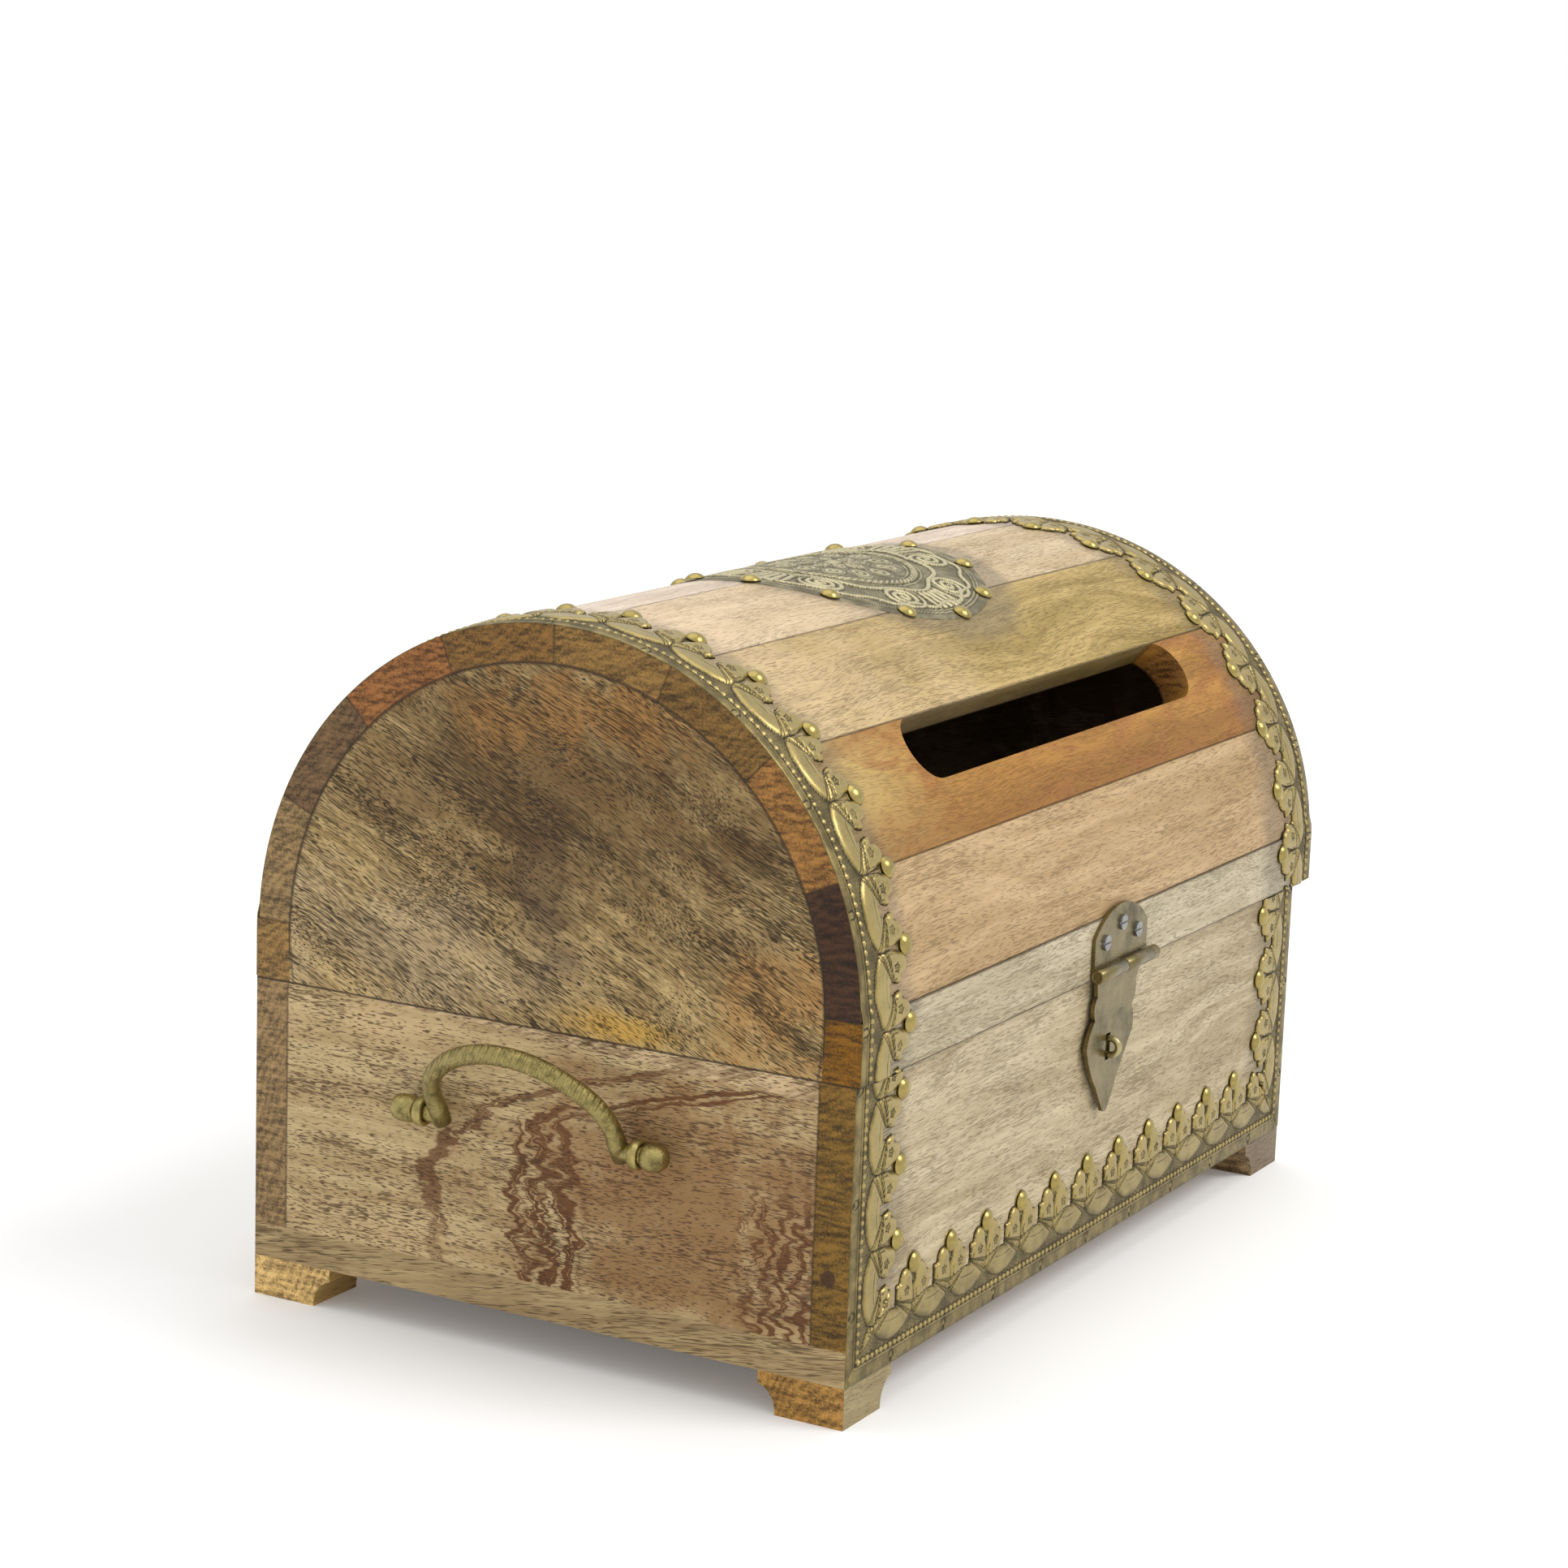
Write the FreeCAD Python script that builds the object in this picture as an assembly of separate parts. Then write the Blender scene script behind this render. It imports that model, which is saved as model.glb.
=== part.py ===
import FreeCAD, Part
import math
import os

# Domed wooden box with a card slot, embossed brass strips, drop handles and a hasp.
# Millimetres. X runs along the front, Y to the back, Z up, and the floor is at zero.

V = FreeCAD.Vector
ALONG = V(1, 0, 0)
BACK = V(0, 1, 0)
UP = V(0, 0, 1)

# Carcass of the box
box_length = 386.0
box_depth = 250.0
foot_height = 15.0
bottom_thickness = 13.0
wall_height = 93.5
board_thickness = 14.0
end_board_thickness = 14.0

# Feet, square blocks with an ogee on their two inner sides
foot_side = 34.0
foot_sole = 27.0
foot_lip = 4.5
foot_bow_share = 0.3

# Domed lid of staves between two rim staves
rim_height = 19.0
rim_joint_angle = 1.6
rim_proud = 0.8
lid_forward = 0.8
stave_thickness = 14.0
stave_count = 8
stave_easing = 0.4

# Card slot through the second stave, up against the third one
slot_length = 236.0
slot_width = 26.0
slot_offset = 9.0

# Embossed sheet brass: borders with a scalloped inner edge
sheet_thickness = 0.8
motif_root = 20.0
motif_leaf_reach = 30.0
motif_gap_reach = 27.0
motif_notch_radius = 4.6
nail_inset = 33.0
nail_tab_radius = 4.6
arch_pitch_angle = 12.34
arch_first_nail_angle = -1.2
arch_nail_count = 16
arch_flare = 14.0
arch_flare_start_angle = 0.0
arch_flare_end_angle = 84.0
side_pitch = 27.0
side_first_nail_below_seam = 7.5
side_nail_count = 3
front_pitch = 28.5
front_nail_count = 11
front_nail_shift = -3.5
strip_end_gap = 0.5

# Dome headed nails
nail_radius = 4.0
nail_height = 2.2
nail_ring_shares = [(1.0, 0.0), (0.68, 0.68)]

# Oval medallion on the crown of the lid
medallion_length = 132.0
medallion_width = 123.0
medallion_offset = 5.0
medallion_nail_count = 12
medallion_nail_edge = 2.5

# Hasp on the middle of the front
hasp_centre = 12.0
hasp_plate_width = 47.0
hasp_plate_rise = 24.4
hasp_plate_shoulder = 14.0
hasp_plate_thickness = 1.6
hasp_knuckle_radius = 2.75
hasp_knuckle_standoff = 0.1
hasp_knuckle_rise = 1.9
hasp_pin_radius = 1.4
hasp_pin_overhang = 5.0
hasp_strap_thickness = 1.6
hasp_strap_length = 56.0
hasp_strap_width = 41.0
hasp_strap_lean = 8.0
hasp_end_gap = 0.3
hasp_screw_radius = 3.05
hasp_screw_height = 1.0
hasp_screw_recess = 7.5
hasp_screw_reach = 14.2
hasp_screw_slope_share = 0.38
screw_slot_depth_share = 0.4
screw_slot_share = 0.25
staple_drop = 30.2
staple_wire_radius = 1.3
staple_bend_radius = 3.2
staple_reach = 6.0
staple_plate_thickness = 1.2
staple_plate_width = 15.0
staple_plate_height = 25.0
slit_clearance = 0.7

# Drop handles on both ends
handle_height = 71.0
handle_standoff = 8.0
handle_tilt = 30.0
bail_half_width = 37.6
bail_rise = 37.0
bail_leg = 8.0
bail_corner_radius = 22.0
bail_radius = 3.7
bail_foot_drop = 3.6
bail_foot_length = 11.0
bail_foot_bevel_share = 0.35
pin_radius = 3.4
pin_clearance = 0.08
eye_centre = 45.0
eye_width = 3.6
eye_wall = 1.9
eye_side_gap = 0.5
eye_shank_radius = 1.9
eye_shank_depth = 10.0
eye_shank_clearance = 0.05
finial_radius = 5.2
finial_length = 9.4
finial_rounding = 2.4

# Surface hinges on the back
hinge_inset = 83.0
hinge_width = 38.0
hinge_leaf_height = 16.0
hinge_leaf_thickness = 1.2
hinge_knuckle_radius = 2.6
hinge_standoff = 0.2
hinge_pin_radius = 1.2
hinge_pin_clearance = 0.05
hinge_side_gap = 0.3
hinge_screw_radius = 2.4
hinge_screw_height = 0.7
hinge_screw_edge = 5.0
hinge_screw_drop = 10.5

# Number of flats round each small round piece
knuckle_facets = 12
screw_facets = 12
nail_facets = 8
staple_facets = 6
staple_bend_steps = 6
bail_facets = 8
bail_corner_steps = 4
bail_crown_steps = 9
finial_facets = 12
eye_facets = 12
shank_facets = 8
medallion_facets = 36

# One overrun that carries every cutting shape past the faces that it cuts
overrun = 2.0

# Places that follow from the sizes above
half_turn = 180.0
half_length = box_length / 2
half_depth = box_depth / 2
floor_top = foot_height + bottom_thickness
seam = floor_top + wall_height
inner_length = half_length - end_board_thickness
dome_radius = half_depth
dome_inner_radius = dome_radius - stave_thickness
dome_centre = V(0, -lid_forward, seam + rim_height)
rim_face = dome_radius + rim_proud
stave_angle = (half_turn - 2 * rim_joint_angle) / stave_count
front_face = -half_depth
rim_front = dome_centre.y - rim_face
rim_back = dome_centre.y + rim_face
handle_axis_height = foot_height + handle_height
hinge_centre = half_length - hinge_inset


def save(name, shape):
    shape.exportStep(f"parts/{name}.step")


def block(low, high):
    size = high - low
    return Part.makeBox(size.x, size.y, size.z, low)


def rod(start, direction, radius, length):
    return Part.makeCylinder(radius, length, start, direction)


def prism(edges, direction):
    return Part.Face(Part.Wire(edges)).extrude(direction)


def polygon(points):
    return Part.makePolygon(points + [points[0]]).Edges


def turned_polygon(radius, count, height=0.0):
    points = []
    for step in range(count):
        turn = 2 * math.pi * step / count
        points.append(V(radius * math.cos(turn), radius * math.sin(turn), height))
    return polygon(points)


def skin(rows, tip=None):
    # A closed solid of flat faces through rows of points, with a point at its end if asked.
    count = len(rows[0])
    faces = [Part.Face(Part.Wire(polygon(rows[0])))]
    for lower, upper in zip(rows, rows[1:]):
        for step in range(count):
            after = (step + 1) % count
            corners = [lower[step], lower[after], upper[after], upper[step]]
            faces.append(Part.Face(Part.Wire(polygon(corners))))
    if tip is None:
        faces.append(Part.Face(Part.Wire(polygon(rows[-1]))))
    else:
        for step in range(count):
            corners = [rows[-1][step], rows[-1][(step + 1) % count], tip]
            faces.append(Part.Face(Part.Wire(polygon(corners))))
    return Part.makeSolid(Part.makeShell(faces))


def faceted_turning(rings, count, tip=None):
    # A turned piece of flats about Z, from its radii and heights.
    turns = [2 * math.pi * step / count for step in range(count)]
    rows = []
    for radius, height in rings:
        rows.append([V(radius * math.cos(turn), radius * math.sin(turn), height) for turn in turns])
    return skin(rows, None if tip is None else V(0, 0, tip))


def bend_stations(centre, radius, start, end, count):
    # Points and headings round an arc in the YZ plane, for a bar bent of straight pieces.
    stations = []
    for step in range(count + 1):
        turn = start + (end - start) * step / count
        out = V(0, math.cos(turn), math.sin(turn))
        stations.append((centre + out * radius, V(0, -out.z, out.y)))
    return stations


def faceted_bar(stations, radius, count):
    rows = []
    for point, heading in stations:
        side = heading.cross(ALONG)
        turns = [2 * math.pi * step / count for step in range(count)]
        rows.append([point + (side * math.sin(turn) + ALONG * math.cos(turn)) * radius
                     for turn in turns])
    return skin(rows)


def faceted_rod(start, direction, radius, length, count):
    solid = prism(turned_polygon(radius, count), V(0, 0, length))
    solid.Placement = FreeCAD.Placement(start, FreeCAD.Rotation(UP, direction))
    return solid


def dome_point(radius, angle, x=0.0):
    turn = math.radians(angle)
    out = V(0, -radius * math.cos(turn), radius * math.sin(turn))
    return dome_centre + out + V(x, 0, 0)


def dome_normal(angle):
    turn = math.radians(angle)
    return V(0, -math.cos(turn), math.sin(turn))


def dome_arc(radius, start, end, x):
    middle = (start + end) / 2
    points = [dome_point(radius, angle, x) for angle in (start, middle, end)]
    return Part.Arc(*points).toShape()


def line(start, end):
    return Part.LineSegment(start, end).toShape()


def ring_sector(inner, outer, start, end, x_low, x_high, easing=0.0):
    # A curved stave or sheet, with its two outer edges eased by a small bevel.
    ease_angle = math.degrees(easing / outer)
    lower = dome_point(inner, start, x_low)
    upper = dome_point(inner, end, x_low)
    edges = []
    if easing:
        lower_ease = dome_point(outer - easing, start, x_low)
        upper_ease = dome_point(outer - easing, end, x_low)
        lower_arc = dome_point(outer, start + ease_angle, x_low)
        upper_arc = dome_point(outer, end - ease_angle, x_low)
        edges += [line(lower, lower_ease), line(lower_ease, lower_arc)]
        edges += [line(upper_arc, upper_ease), line(upper_ease, upper)]
    else:
        edges += [line(lower, dome_point(outer, start, x_low))]
        edges += [line(dome_point(outer, end, x_low), upper)]
    edges += [dome_arc(outer, start + ease_angle, end - ease_angle, x_low)]
    edges += [dome_arc(inner, start, end, x_low)]
    return prism(Part.__sortEdges__(edges), V(x_high - x_low, 0, 0))


def frame_at(origin, inward, normal):
    # Placement whose X runs inward from a border's edge and whose Z is the face's normal.
    along = normal.cross(inward)
    matrix = FreeCAD.Matrix(
        inward.x, along.x, normal.x, origin.x,
        inward.y, along.y, normal.y, origin.y,
        inward.z, along.z, normal.z, origin.z,
    )
    return FreeCAD.Placement(matrix)


# Bottom board, walls and feet

def make_carcass():
    bottom_low = V(-half_length, -half_depth, foot_height)
    save("bottom_board", block(bottom_low, V(half_length, half_depth, floor_top)))
    inner_depth = half_depth - board_thickness
    front = block(V(-half_length, -half_depth, floor_top), V(half_length, -inner_depth, seam))
    back = block(V(-half_length, inner_depth, floor_top), V(half_length, half_depth, seam))
    save("front_board", front)
    save("back_board", back)
    for side, name in ((-1, "left"), (1, "right")):
        near = side * inner_length
        far = side * half_length
        low = V(min(near, far), -inner_depth, floor_top)
        board = block(low, V(max(near, far), inner_depth, seam))
        for row in (-1, 1):
            start = V(far + side * overrun, row * eye_centre, handle_axis_height)
            depth = eye_shank_depth + overrun
            hole = rod(start, ALONG * -side, eye_shank_radius + eye_shank_clearance, depth)
            board = board.cut(hole)
        save(f"{name}_end_board", board)


def foot_profile():
    # Outer side upright; inner side a short lip, then a hollow curve down to the sole.
    curve_height = foot_height - foot_lip
    curve_width = foot_side - foot_sole
    lip = V(foot_side, 0, curve_height)
    sole = V(foot_sole, 0, 0)
    bow = V(foot_sole + curve_width * foot_bow_share, 0, curve_height * (1 - foot_bow_share))
    top_in = V(foot_side, 0, foot_height)
    top_out = V(0, 0, foot_height)
    edges = [line(V(0, 0, 0), top_out), line(top_out, top_in), line(top_in, lip)]
    edges += [Part.Arc(lip, bow, sole).toShape(), line(sole, V(0, 0, 0))]
    return edges


def make_feet():
    across = prism(foot_profile(), V(0, foot_side, 0))
    turned = across.copy()
    turned.rotate(V(0, 0, 0), UP, -90)
    turned = turned.mirror(V(0, 0, 0), BACK)
    foot = across.common(turned)
    for side, side_name in ((-1, "left"), (1, "right")):
        for row, row_name in ((-1, "front"), (1, "back")):
            piece = foot.copy()
            if side > 0:
                piece = piece.mirror(V(0, 0, 0), ALONG)
            if row > 0:
                piece = piece.mirror(V(0, 0, 0), BACK)
            corner = V(side * half_length, row * half_depth, 0)
            piece.translate(corner)
            save(f"{row_name}_{side_name}_foot", piece)


# Lid: rim staves, curved staves and end boards

def make_rim(side, name):
    slope = math.tan(math.radians(rim_joint_angle))
    outer = side * rim_face
    inner = side * dome_inner_radius
    outer_top = dome_centre.z + rim_face * slope
    inner_top = dome_centre.z + dome_inner_radius * slope
    corners = [(outer, seam), (outer, outer_top), (inner, inner_top), (inner, seam)]
    points = [V(-half_length, dome_centre.y + y, z) for y, z in corners]
    save(name, prism(polygon(points), V(box_length, 0, 0)))


def stave_start(number):
    return rim_joint_angle + number * stave_angle


def slot_tool(length, width, low, high):
    # A slot with round ends, cut along the dome's radius at its own middle.
    angle = stave_start(2) - math.degrees(math.asin(slot_width / 2 / dome_radius))
    radius = width / 2
    straight = length / 2 - radius
    origin = dome_point(0, angle, slot_offset) + dome_normal(angle) * low
    place = frame_at(origin, ALONG, dome_normal(angle))
    ends = []
    for side in (-1, 1):
        top = V(side * straight, radius, 0)
        tip = V(side * (straight + radius), 0, 0)
        ends.append((top, tip, V(side * straight, -radius, 0)))
    left, right = ends
    edges = [Part.Arc(*left).toShape(), line(left[2], right[2])]
    edges += [Part.Arc(right[2], right[1], right[0]).toShape(), line(right[0], left[0])]
    tool = prism(edges, V(0, 0, high - low))
    tool.Placement = place
    return tool


def make_staves():
    reach = stave_thickness + overrun
    slot = slot_tool(slot_length, slot_width, dome_inner_radius - reach, dome_radius + reach)
    for number in range(stave_count):
        start = stave_start(number)
        end = stave_start(number + 1)
        stave = ring_sector(
            dome_inner_radius, dome_radius, start, end, -half_length, half_length, stave_easing
        )
        name = f"stave_{number + 1}"
        if number == 1:
            stave = stave.cut(slot)
            name = "slot_stave"
        save(name, stave)


def make_lid_ends():
    radius = dome_inner_radius
    for side, name in ((-1, "left"), (1, "right")):
        x = min(side * inner_length, side * half_length)
        low_front = V(x, dome_centre.y - radius, seam)
        low_back = V(x, dome_centre.y + radius, seam)
        front = dome_point(radius, 0, x)
        back = dome_point(radius, half_turn, x)
        edges = [line(low_front, front), dome_arc(radius, 0, half_turn, x)]
        edges += [line(back, low_back), line(low_back, low_front)]
        save(f"{name}_lid_end", prism(edges, V(end_board_thickness, 0, 0)))


# Brass borders

def scallop_tool(pitch, depth, reach=overrun):
    # What lies beyond one motif: two leaves and a tab under the nail, between two notches.
    half = pitch / 2
    slant = motif_notch_radius * (1 - math.sqrt(0.5))
    notch_side = half - motif_notch_radius
    notch_deep = motif_root + motif_notch_radius
    tab_slant = nail_tab_radius * math.tan(math.pi / 8)
    tab_tip = nail_inset + nail_tab_radius
    outline = [
        (motif_root, half), (motif_root + slant, half - motif_notch_radius / 2),
        (notch_deep, notch_side), (motif_leaf_reach, notch_side),
        (motif_gap_reach, nail_tab_radius), (nail_inset + tab_slant, nail_tab_radius),
        (tab_tip, tab_slant),
    ]
    far = tab_tip + reach
    points = [V(u, t, -depth) for u, t in [(far, half)] + outline]
    points += [V(u, -t, -depth) for u, t in outline[::-1] + [(far, half)]]
    return prism(polygon(points), V(0, 0, 2 * depth))


def arch_angles(first=0):
    counts = range(first, arch_nail_count)
    return [arch_first_nail_angle + arch_pitch_angle * count for count in counts]


def arch_span(angle):
    # The width of a flat cutter that reaches its neighbours at the sheet's outer face.
    return 2 * (dome_radius + sheet_thickness) * math.tan(math.radians(angle / 2))


def flare_at(angle):
    # How far the right border runs past the wood: most at the front rim, none at the crown.
    span = arch_flare_end_angle - arch_flare_start_angle
    share = 1 - (angle - arch_flare_start_angle) / span
    return arch_flare * min(1.0, max(0.0, share))


def strip_surface(angle, x, lift=0.0):
    # The place and normal of a border's face at an angle round the lid.
    if angle < rim_joint_angle:
        place = V(x, rim_front - lift, dome_centre.z + math.radians(angle) * dome_radius)
        return place, V(0, -1, 0)
    if angle > half_turn - rim_joint_angle:
        place = V(x, rim_back + lift, dome_centre.z - math.radians(angle - half_turn) * dome_radius)
        return place, V(0, 1, 0)
    return dome_point(dome_radius + lift, angle, x), dome_normal(angle)


def arch_sheet(x_low, x_high):
    # Sheet over the rim staves and the dome, folded flat under each nail and each notch.
    half_fold = math.radians(arch_pitch_angle / 4)
    first_fold = arch_first_nail_angle + arch_pitch_angle * 3 / 4
    folds = [first_fold + arch_pitch_angle / 2 * count for count in range(2 * arch_nail_count - 4)]
    rim_top = dome_centre.z + rim_face * math.tan(math.radians(rim_joint_angle))
    low = seam + strip_end_gap
    outline = []
    for lift in (0, sheet_thickness):
        reach = rim_face + lift
        radius = (dome_radius + lift) / math.cos(half_fold)
        run = [V(x_low, dome_centre.y - reach, low), V(x_low, dome_centre.y - reach, rim_top)]
        run += [dome_point(radius, angle, x_low) for angle in folds]
        run += [V(x_low, dome_centre.y + reach, rim_top), V(x_low, dome_centre.y + reach, low)]
        outline += run[::-1] if lift else run
    return prism(polygon(outline), V(x_high - x_low, 0, 0))


def flare_tool(low_angle, high_angle, depth):
    # What lies past the sloping outer edge of the flared border, over one pitch.
    half = arch_span(high_angle - low_angle) / 2
    far = -arch_flare - overrun
    low_edge = -flare_at(low_angle)
    high_edge = -flare_at(high_angle)
    corners = [(far, -half), (low_edge, -half), (high_edge, half), (far, half)]
    points = [V(u, -t, -depth) for u, t in corners]
    return prism(polygon(points), V(0, 0, 2 * depth))


def flared_sheet(width):
    # The right border before it is trimmed: it runs past the wood on the front half only.
    sheet = arch_sheet(half_length - width, half_length + arch_flare)
    room = V(arch_flare + overrun, rim_face + overrun, rim_face + rim_height + overrun)
    crown = V(half_length, dome_centre.y, seam)
    return sheet.cut(block(crown, crown + room))


def make_arch_strips():
    # One more motif than there are nails fills the strip's front end.
    pitch = arch_span(arch_pitch_angle)
    depth = overrun + sheet_thickness
    width = nail_inset + nail_tab_radius + overrun / 2
    strip = arch_sheet(-half_length, -half_length + width)
    scallops = []
    for angle in arch_angles(-1):
        origin, normal = strip_surface(angle, -half_length)
        tool = scallop_tool(pitch, depth)
        tool.Placement = frame_at(origin, ALONG, normal)
        scallops.append(tool)
    save("left_arch_strip", strip.cut(scallops))
    strip = flared_sheet(width)
    scallops = []
    for angle in arch_angles(-1):
        origin, normal = strip_surface(angle, half_length + flare_at(angle))
        tool = scallop_tool(pitch, depth, overrun + arch_flare)
        tool.Placement = frame_at(origin, ALONG * -1, normal)
        scallops.append(tool)
    strip = strip.cut(scallops)
    for angle in arch_angles():
        low = angle - arch_pitch_angle / 2
        high = angle + arch_pitch_angle / 2
        if flare_at(low) > 0:
            origin, normal = strip_surface(angle, half_length)
            tool = flare_tool(low, high, depth)
            tool.Placement = frame_at(origin, ALONG * -1, normal)
            strip = strip.cut(tool)
    save("right_arch_strip", strip)


def make_base_strips():
    # Each strip is mitred at the corners, where one more motif without a nail runs out.
    width = nail_inset + nail_tab_radius + overrun / 2
    face = V(0, front_face, 0)
    out = V(0, -sheet_thickness, 0)
    depth = overrun + sheet_thickness
    top = seam - strip_end_gap
    for side, name in ((-1, "left"), (1, "right")):
        outer = side * half_length
        inner = side * (half_length - width)
        corners = [(outer, foot_height), (outer, top), (inner, top), (inner, foot_height + width)]
        points = [V(x, 0, z) + face for x, z in corners]
        strip = prism(polygon(points), out)
        tools = []
        for count in range(side_nail_count + 1):
            height = seam - side_first_nail_below_seam - side_pitch * count
            tool = scallop_tool(side_pitch, depth)
            tool.Placement = frame_at(V(outer, front_face, height), ALONG * -side, V(0, -1, 0))
            tools.append(tool)
        save(f"{name}_base_strip", strip.cut(tools))
    low = foot_height
    high = foot_height + width
    corners = [(-half_length, low), (half_length, low)]
    corners += [(half_length - width, high), (-half_length + width, high)]
    strip = prism(polygon([V(x, 0, z) + face for x, z in corners]), out)
    tools = []
    for x in front_nail_places(1):
        tool = scallop_tool(front_pitch, depth)
        tool.Placement = frame_at(V(x, front_face, foot_height), UP, V(0, -1, 0))
        tools.append(tool)
    save("bottom_base_strip", strip.cut(tools))


def front_nail_places(more=0):
    middle = (front_nail_count - 1) / 2
    counts = range(-more, front_nail_count + more)
    return [front_nail_shift + front_pitch * (count - middle) for count in counts]


# Nails

def nail_head(place, normal):
    rings = [(nail_radius * radius_share, nail_height * rise_share)
             for radius_share, rise_share in nail_ring_shares]
    head = faceted_turning(rings, nail_facets, nail_height)
    head.Placement = FreeCAD.Placement(place, FreeCAD.Rotation(UP, normal))
    return head


def make_nails():
    arch_nails = []
    for side in (-1, 1):
        for angle in arch_angles():
            shift = flare_at(angle) if side > 0 else 0.0
            x = side * (half_length + shift - nail_inset)
            place, normal = strip_surface(angle, x, sheet_thickness)
            arch_nails.append(nail_head(place, normal))
    save("arch_strip_nails", Part.makeCompound(arch_nails))
    base_nails = []
    face = front_face - sheet_thickness
    for side in (-1, 1):
        for count in range(side_nail_count):
            height = seam - side_first_nail_below_seam - side_pitch * count
            place = V(side * (half_length - nail_inset), face, height)
            base_nails.append(nail_head(place, V(0, -1, 0)))
    for x in front_nail_places():
        place = V(x, face, foot_height + nail_inset)
        base_nails.append(nail_head(place, V(0, -1, 0)))
    save("base_strip_nails", Part.makeCompound(base_nails))


def make_medallion():
    half_chord = dome_radius * math.sin(medallion_width / 2 / dome_radius)
    outline = []
    for step in range(medallion_facets):
        turn = 2 * math.pi * step / medallion_facets
        side = V(medallion_length / 2 * math.cos(turn), half_chord * math.sin(turn), 0)
        outline.append(dome_centre + V(medallion_offset, 0, 0) + side)
    column = prism(polygon(outline), V(0, 0, dome_radius + overrun))
    reach = math.degrees(medallion_width / 2 / dome_radius) + overrun
    half = medallion_length / 2 + overrun
    sheet = ring_sector(dome_radius, dome_radius + sheet_thickness, 90 - reach, 90 + reach,
                        medallion_offset - half, medallion_offset + half)
    save("medallion", sheet.common(column))
    nails = []
    for count in range(medallion_nail_count):
        turn = math.radians(360.0 * count / medallion_nail_count)
        x = medallion_offset + (medallion_length / 2 - medallion_nail_edge) * math.cos(turn)
        run = (medallion_width / 2 - medallion_nail_edge) * math.sin(turn)
        angle = 90 + math.degrees(run / dome_radius)
        place = dome_point(dome_radius + sheet_thickness, angle, x)
        nails.append(nail_head(place, dome_normal(angle)))
    save("medallion_nails", Part.makeCompound(nails))


# Hasp

hasp_axis = V(hasp_centre, rim_front - hasp_knuckle_radius - hasp_knuckle_standoff,
              seam + hasp_knuckle_rise)
hasp_half = hasp_plate_width / 2
strap_back = hasp_axis.y + hasp_knuckle_radius
staple_x = hasp_centre - hasp_strap_lean
staple_z = hasp_axis.z - staple_drop
strap_width_shares = [
    [(0.0, 0.50), (0.08, 0.46), (0.155, 0.42)],
    [(0.155, 0.42), (0.24, 0.455), (0.32, 0.40)],
    [(0.32, 0.40), (0.40, 0.475), (0.50, 0.50)],
    [(0.50, 0.50), (0.64, 0.38), (0.80, 0.22)],
    [(0.80, 0.22), (0.89, 0.14), (0.97, 0.06)],
]
strap_lean_rate_share = 1.6


def slotted_screw(place, normal, radius, height):
    head = prism(turned_polygon(radius, screw_facets), V(0, 0, height))
    cut_width = radius * screw_slot_share
    low = V(-radius - overrun, -cut_width / 2, height * screw_slot_depth_share)
    high = V(radius + overrun, cut_width / 2, height + overrun)
    head = head.cut(block(low, high))
    head.Placement = FreeCAD.Placement(place, FreeCAD.Rotation(UP, normal))
    return head


def make_hasp_plate():
    face = rim_front
    bottom = hasp_axis.z
    shoulder = seam + hasp_knuckle_rise + hasp_plate_shoulder
    top = seam + hasp_knuckle_rise + hasp_plate_rise
    left = V(hasp_centre - hasp_half, face, shoulder)
    right = V(hasp_centre + hasp_half, face, shoulder)
    crown = V(hasp_centre, face, top)
    low_left = V(left.x, face, bottom)
    low_right = V(right.x, face, bottom)
    edges = [line(low_left, left), Part.Arc(left, crown, right).toShape()]
    edges += [line(right, low_right), line(low_right, low_left)]
    plate = prism(edges, V(0, -hasp_plate_thickness, 0))
    clear = hasp_knuckle_radius + hasp_end_gap
    strap_side = V(hasp_centre - hasp_end_gap / 2, face - clear - overrun, bottom - overrun)
    room = block(strap_side, V(right.x + overrun, face + overrun, bottom + clear))
    plate = plate.cut(room)
    start = V(left.x, hasp_axis.y, hasp_axis.z)
    length = hasp_half - hasp_end_gap / 2
    plate = plate.fuse(faceted_rod(start, ALONG, hasp_knuckle_radius, length, knuckle_facets))
    web = block(V(left.x, hasp_axis.y, bottom), V(left.x + length, face, bottom + hasp_knuckle_radius))
    plate = plate.fuse(web)
    bore = rod(start - ALONG * overrun, ALONG, hasp_pin_radius, hasp_plate_width)
    save("hasp_plate", plate.cut(bore).removeSplitter())


def make_hasp_screws():
    face = rim_front - hasp_plate_thickness
    screws = []
    for turn in (-1, 0, 1):
        side = hasp_screw_reach * turn
        height = seam + hasp_knuckle_rise + hasp_plate_rise - hasp_screw_recess
        height -= abs(side) * hasp_screw_slope_share
        place = V(hasp_centre + side, face, height)
        screws.append(slotted_screw(place, V(0, -1, 0), hasp_screw_radius, hasp_screw_height))
    save("hasp_screws", Part.makeCompound(screws))


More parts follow.
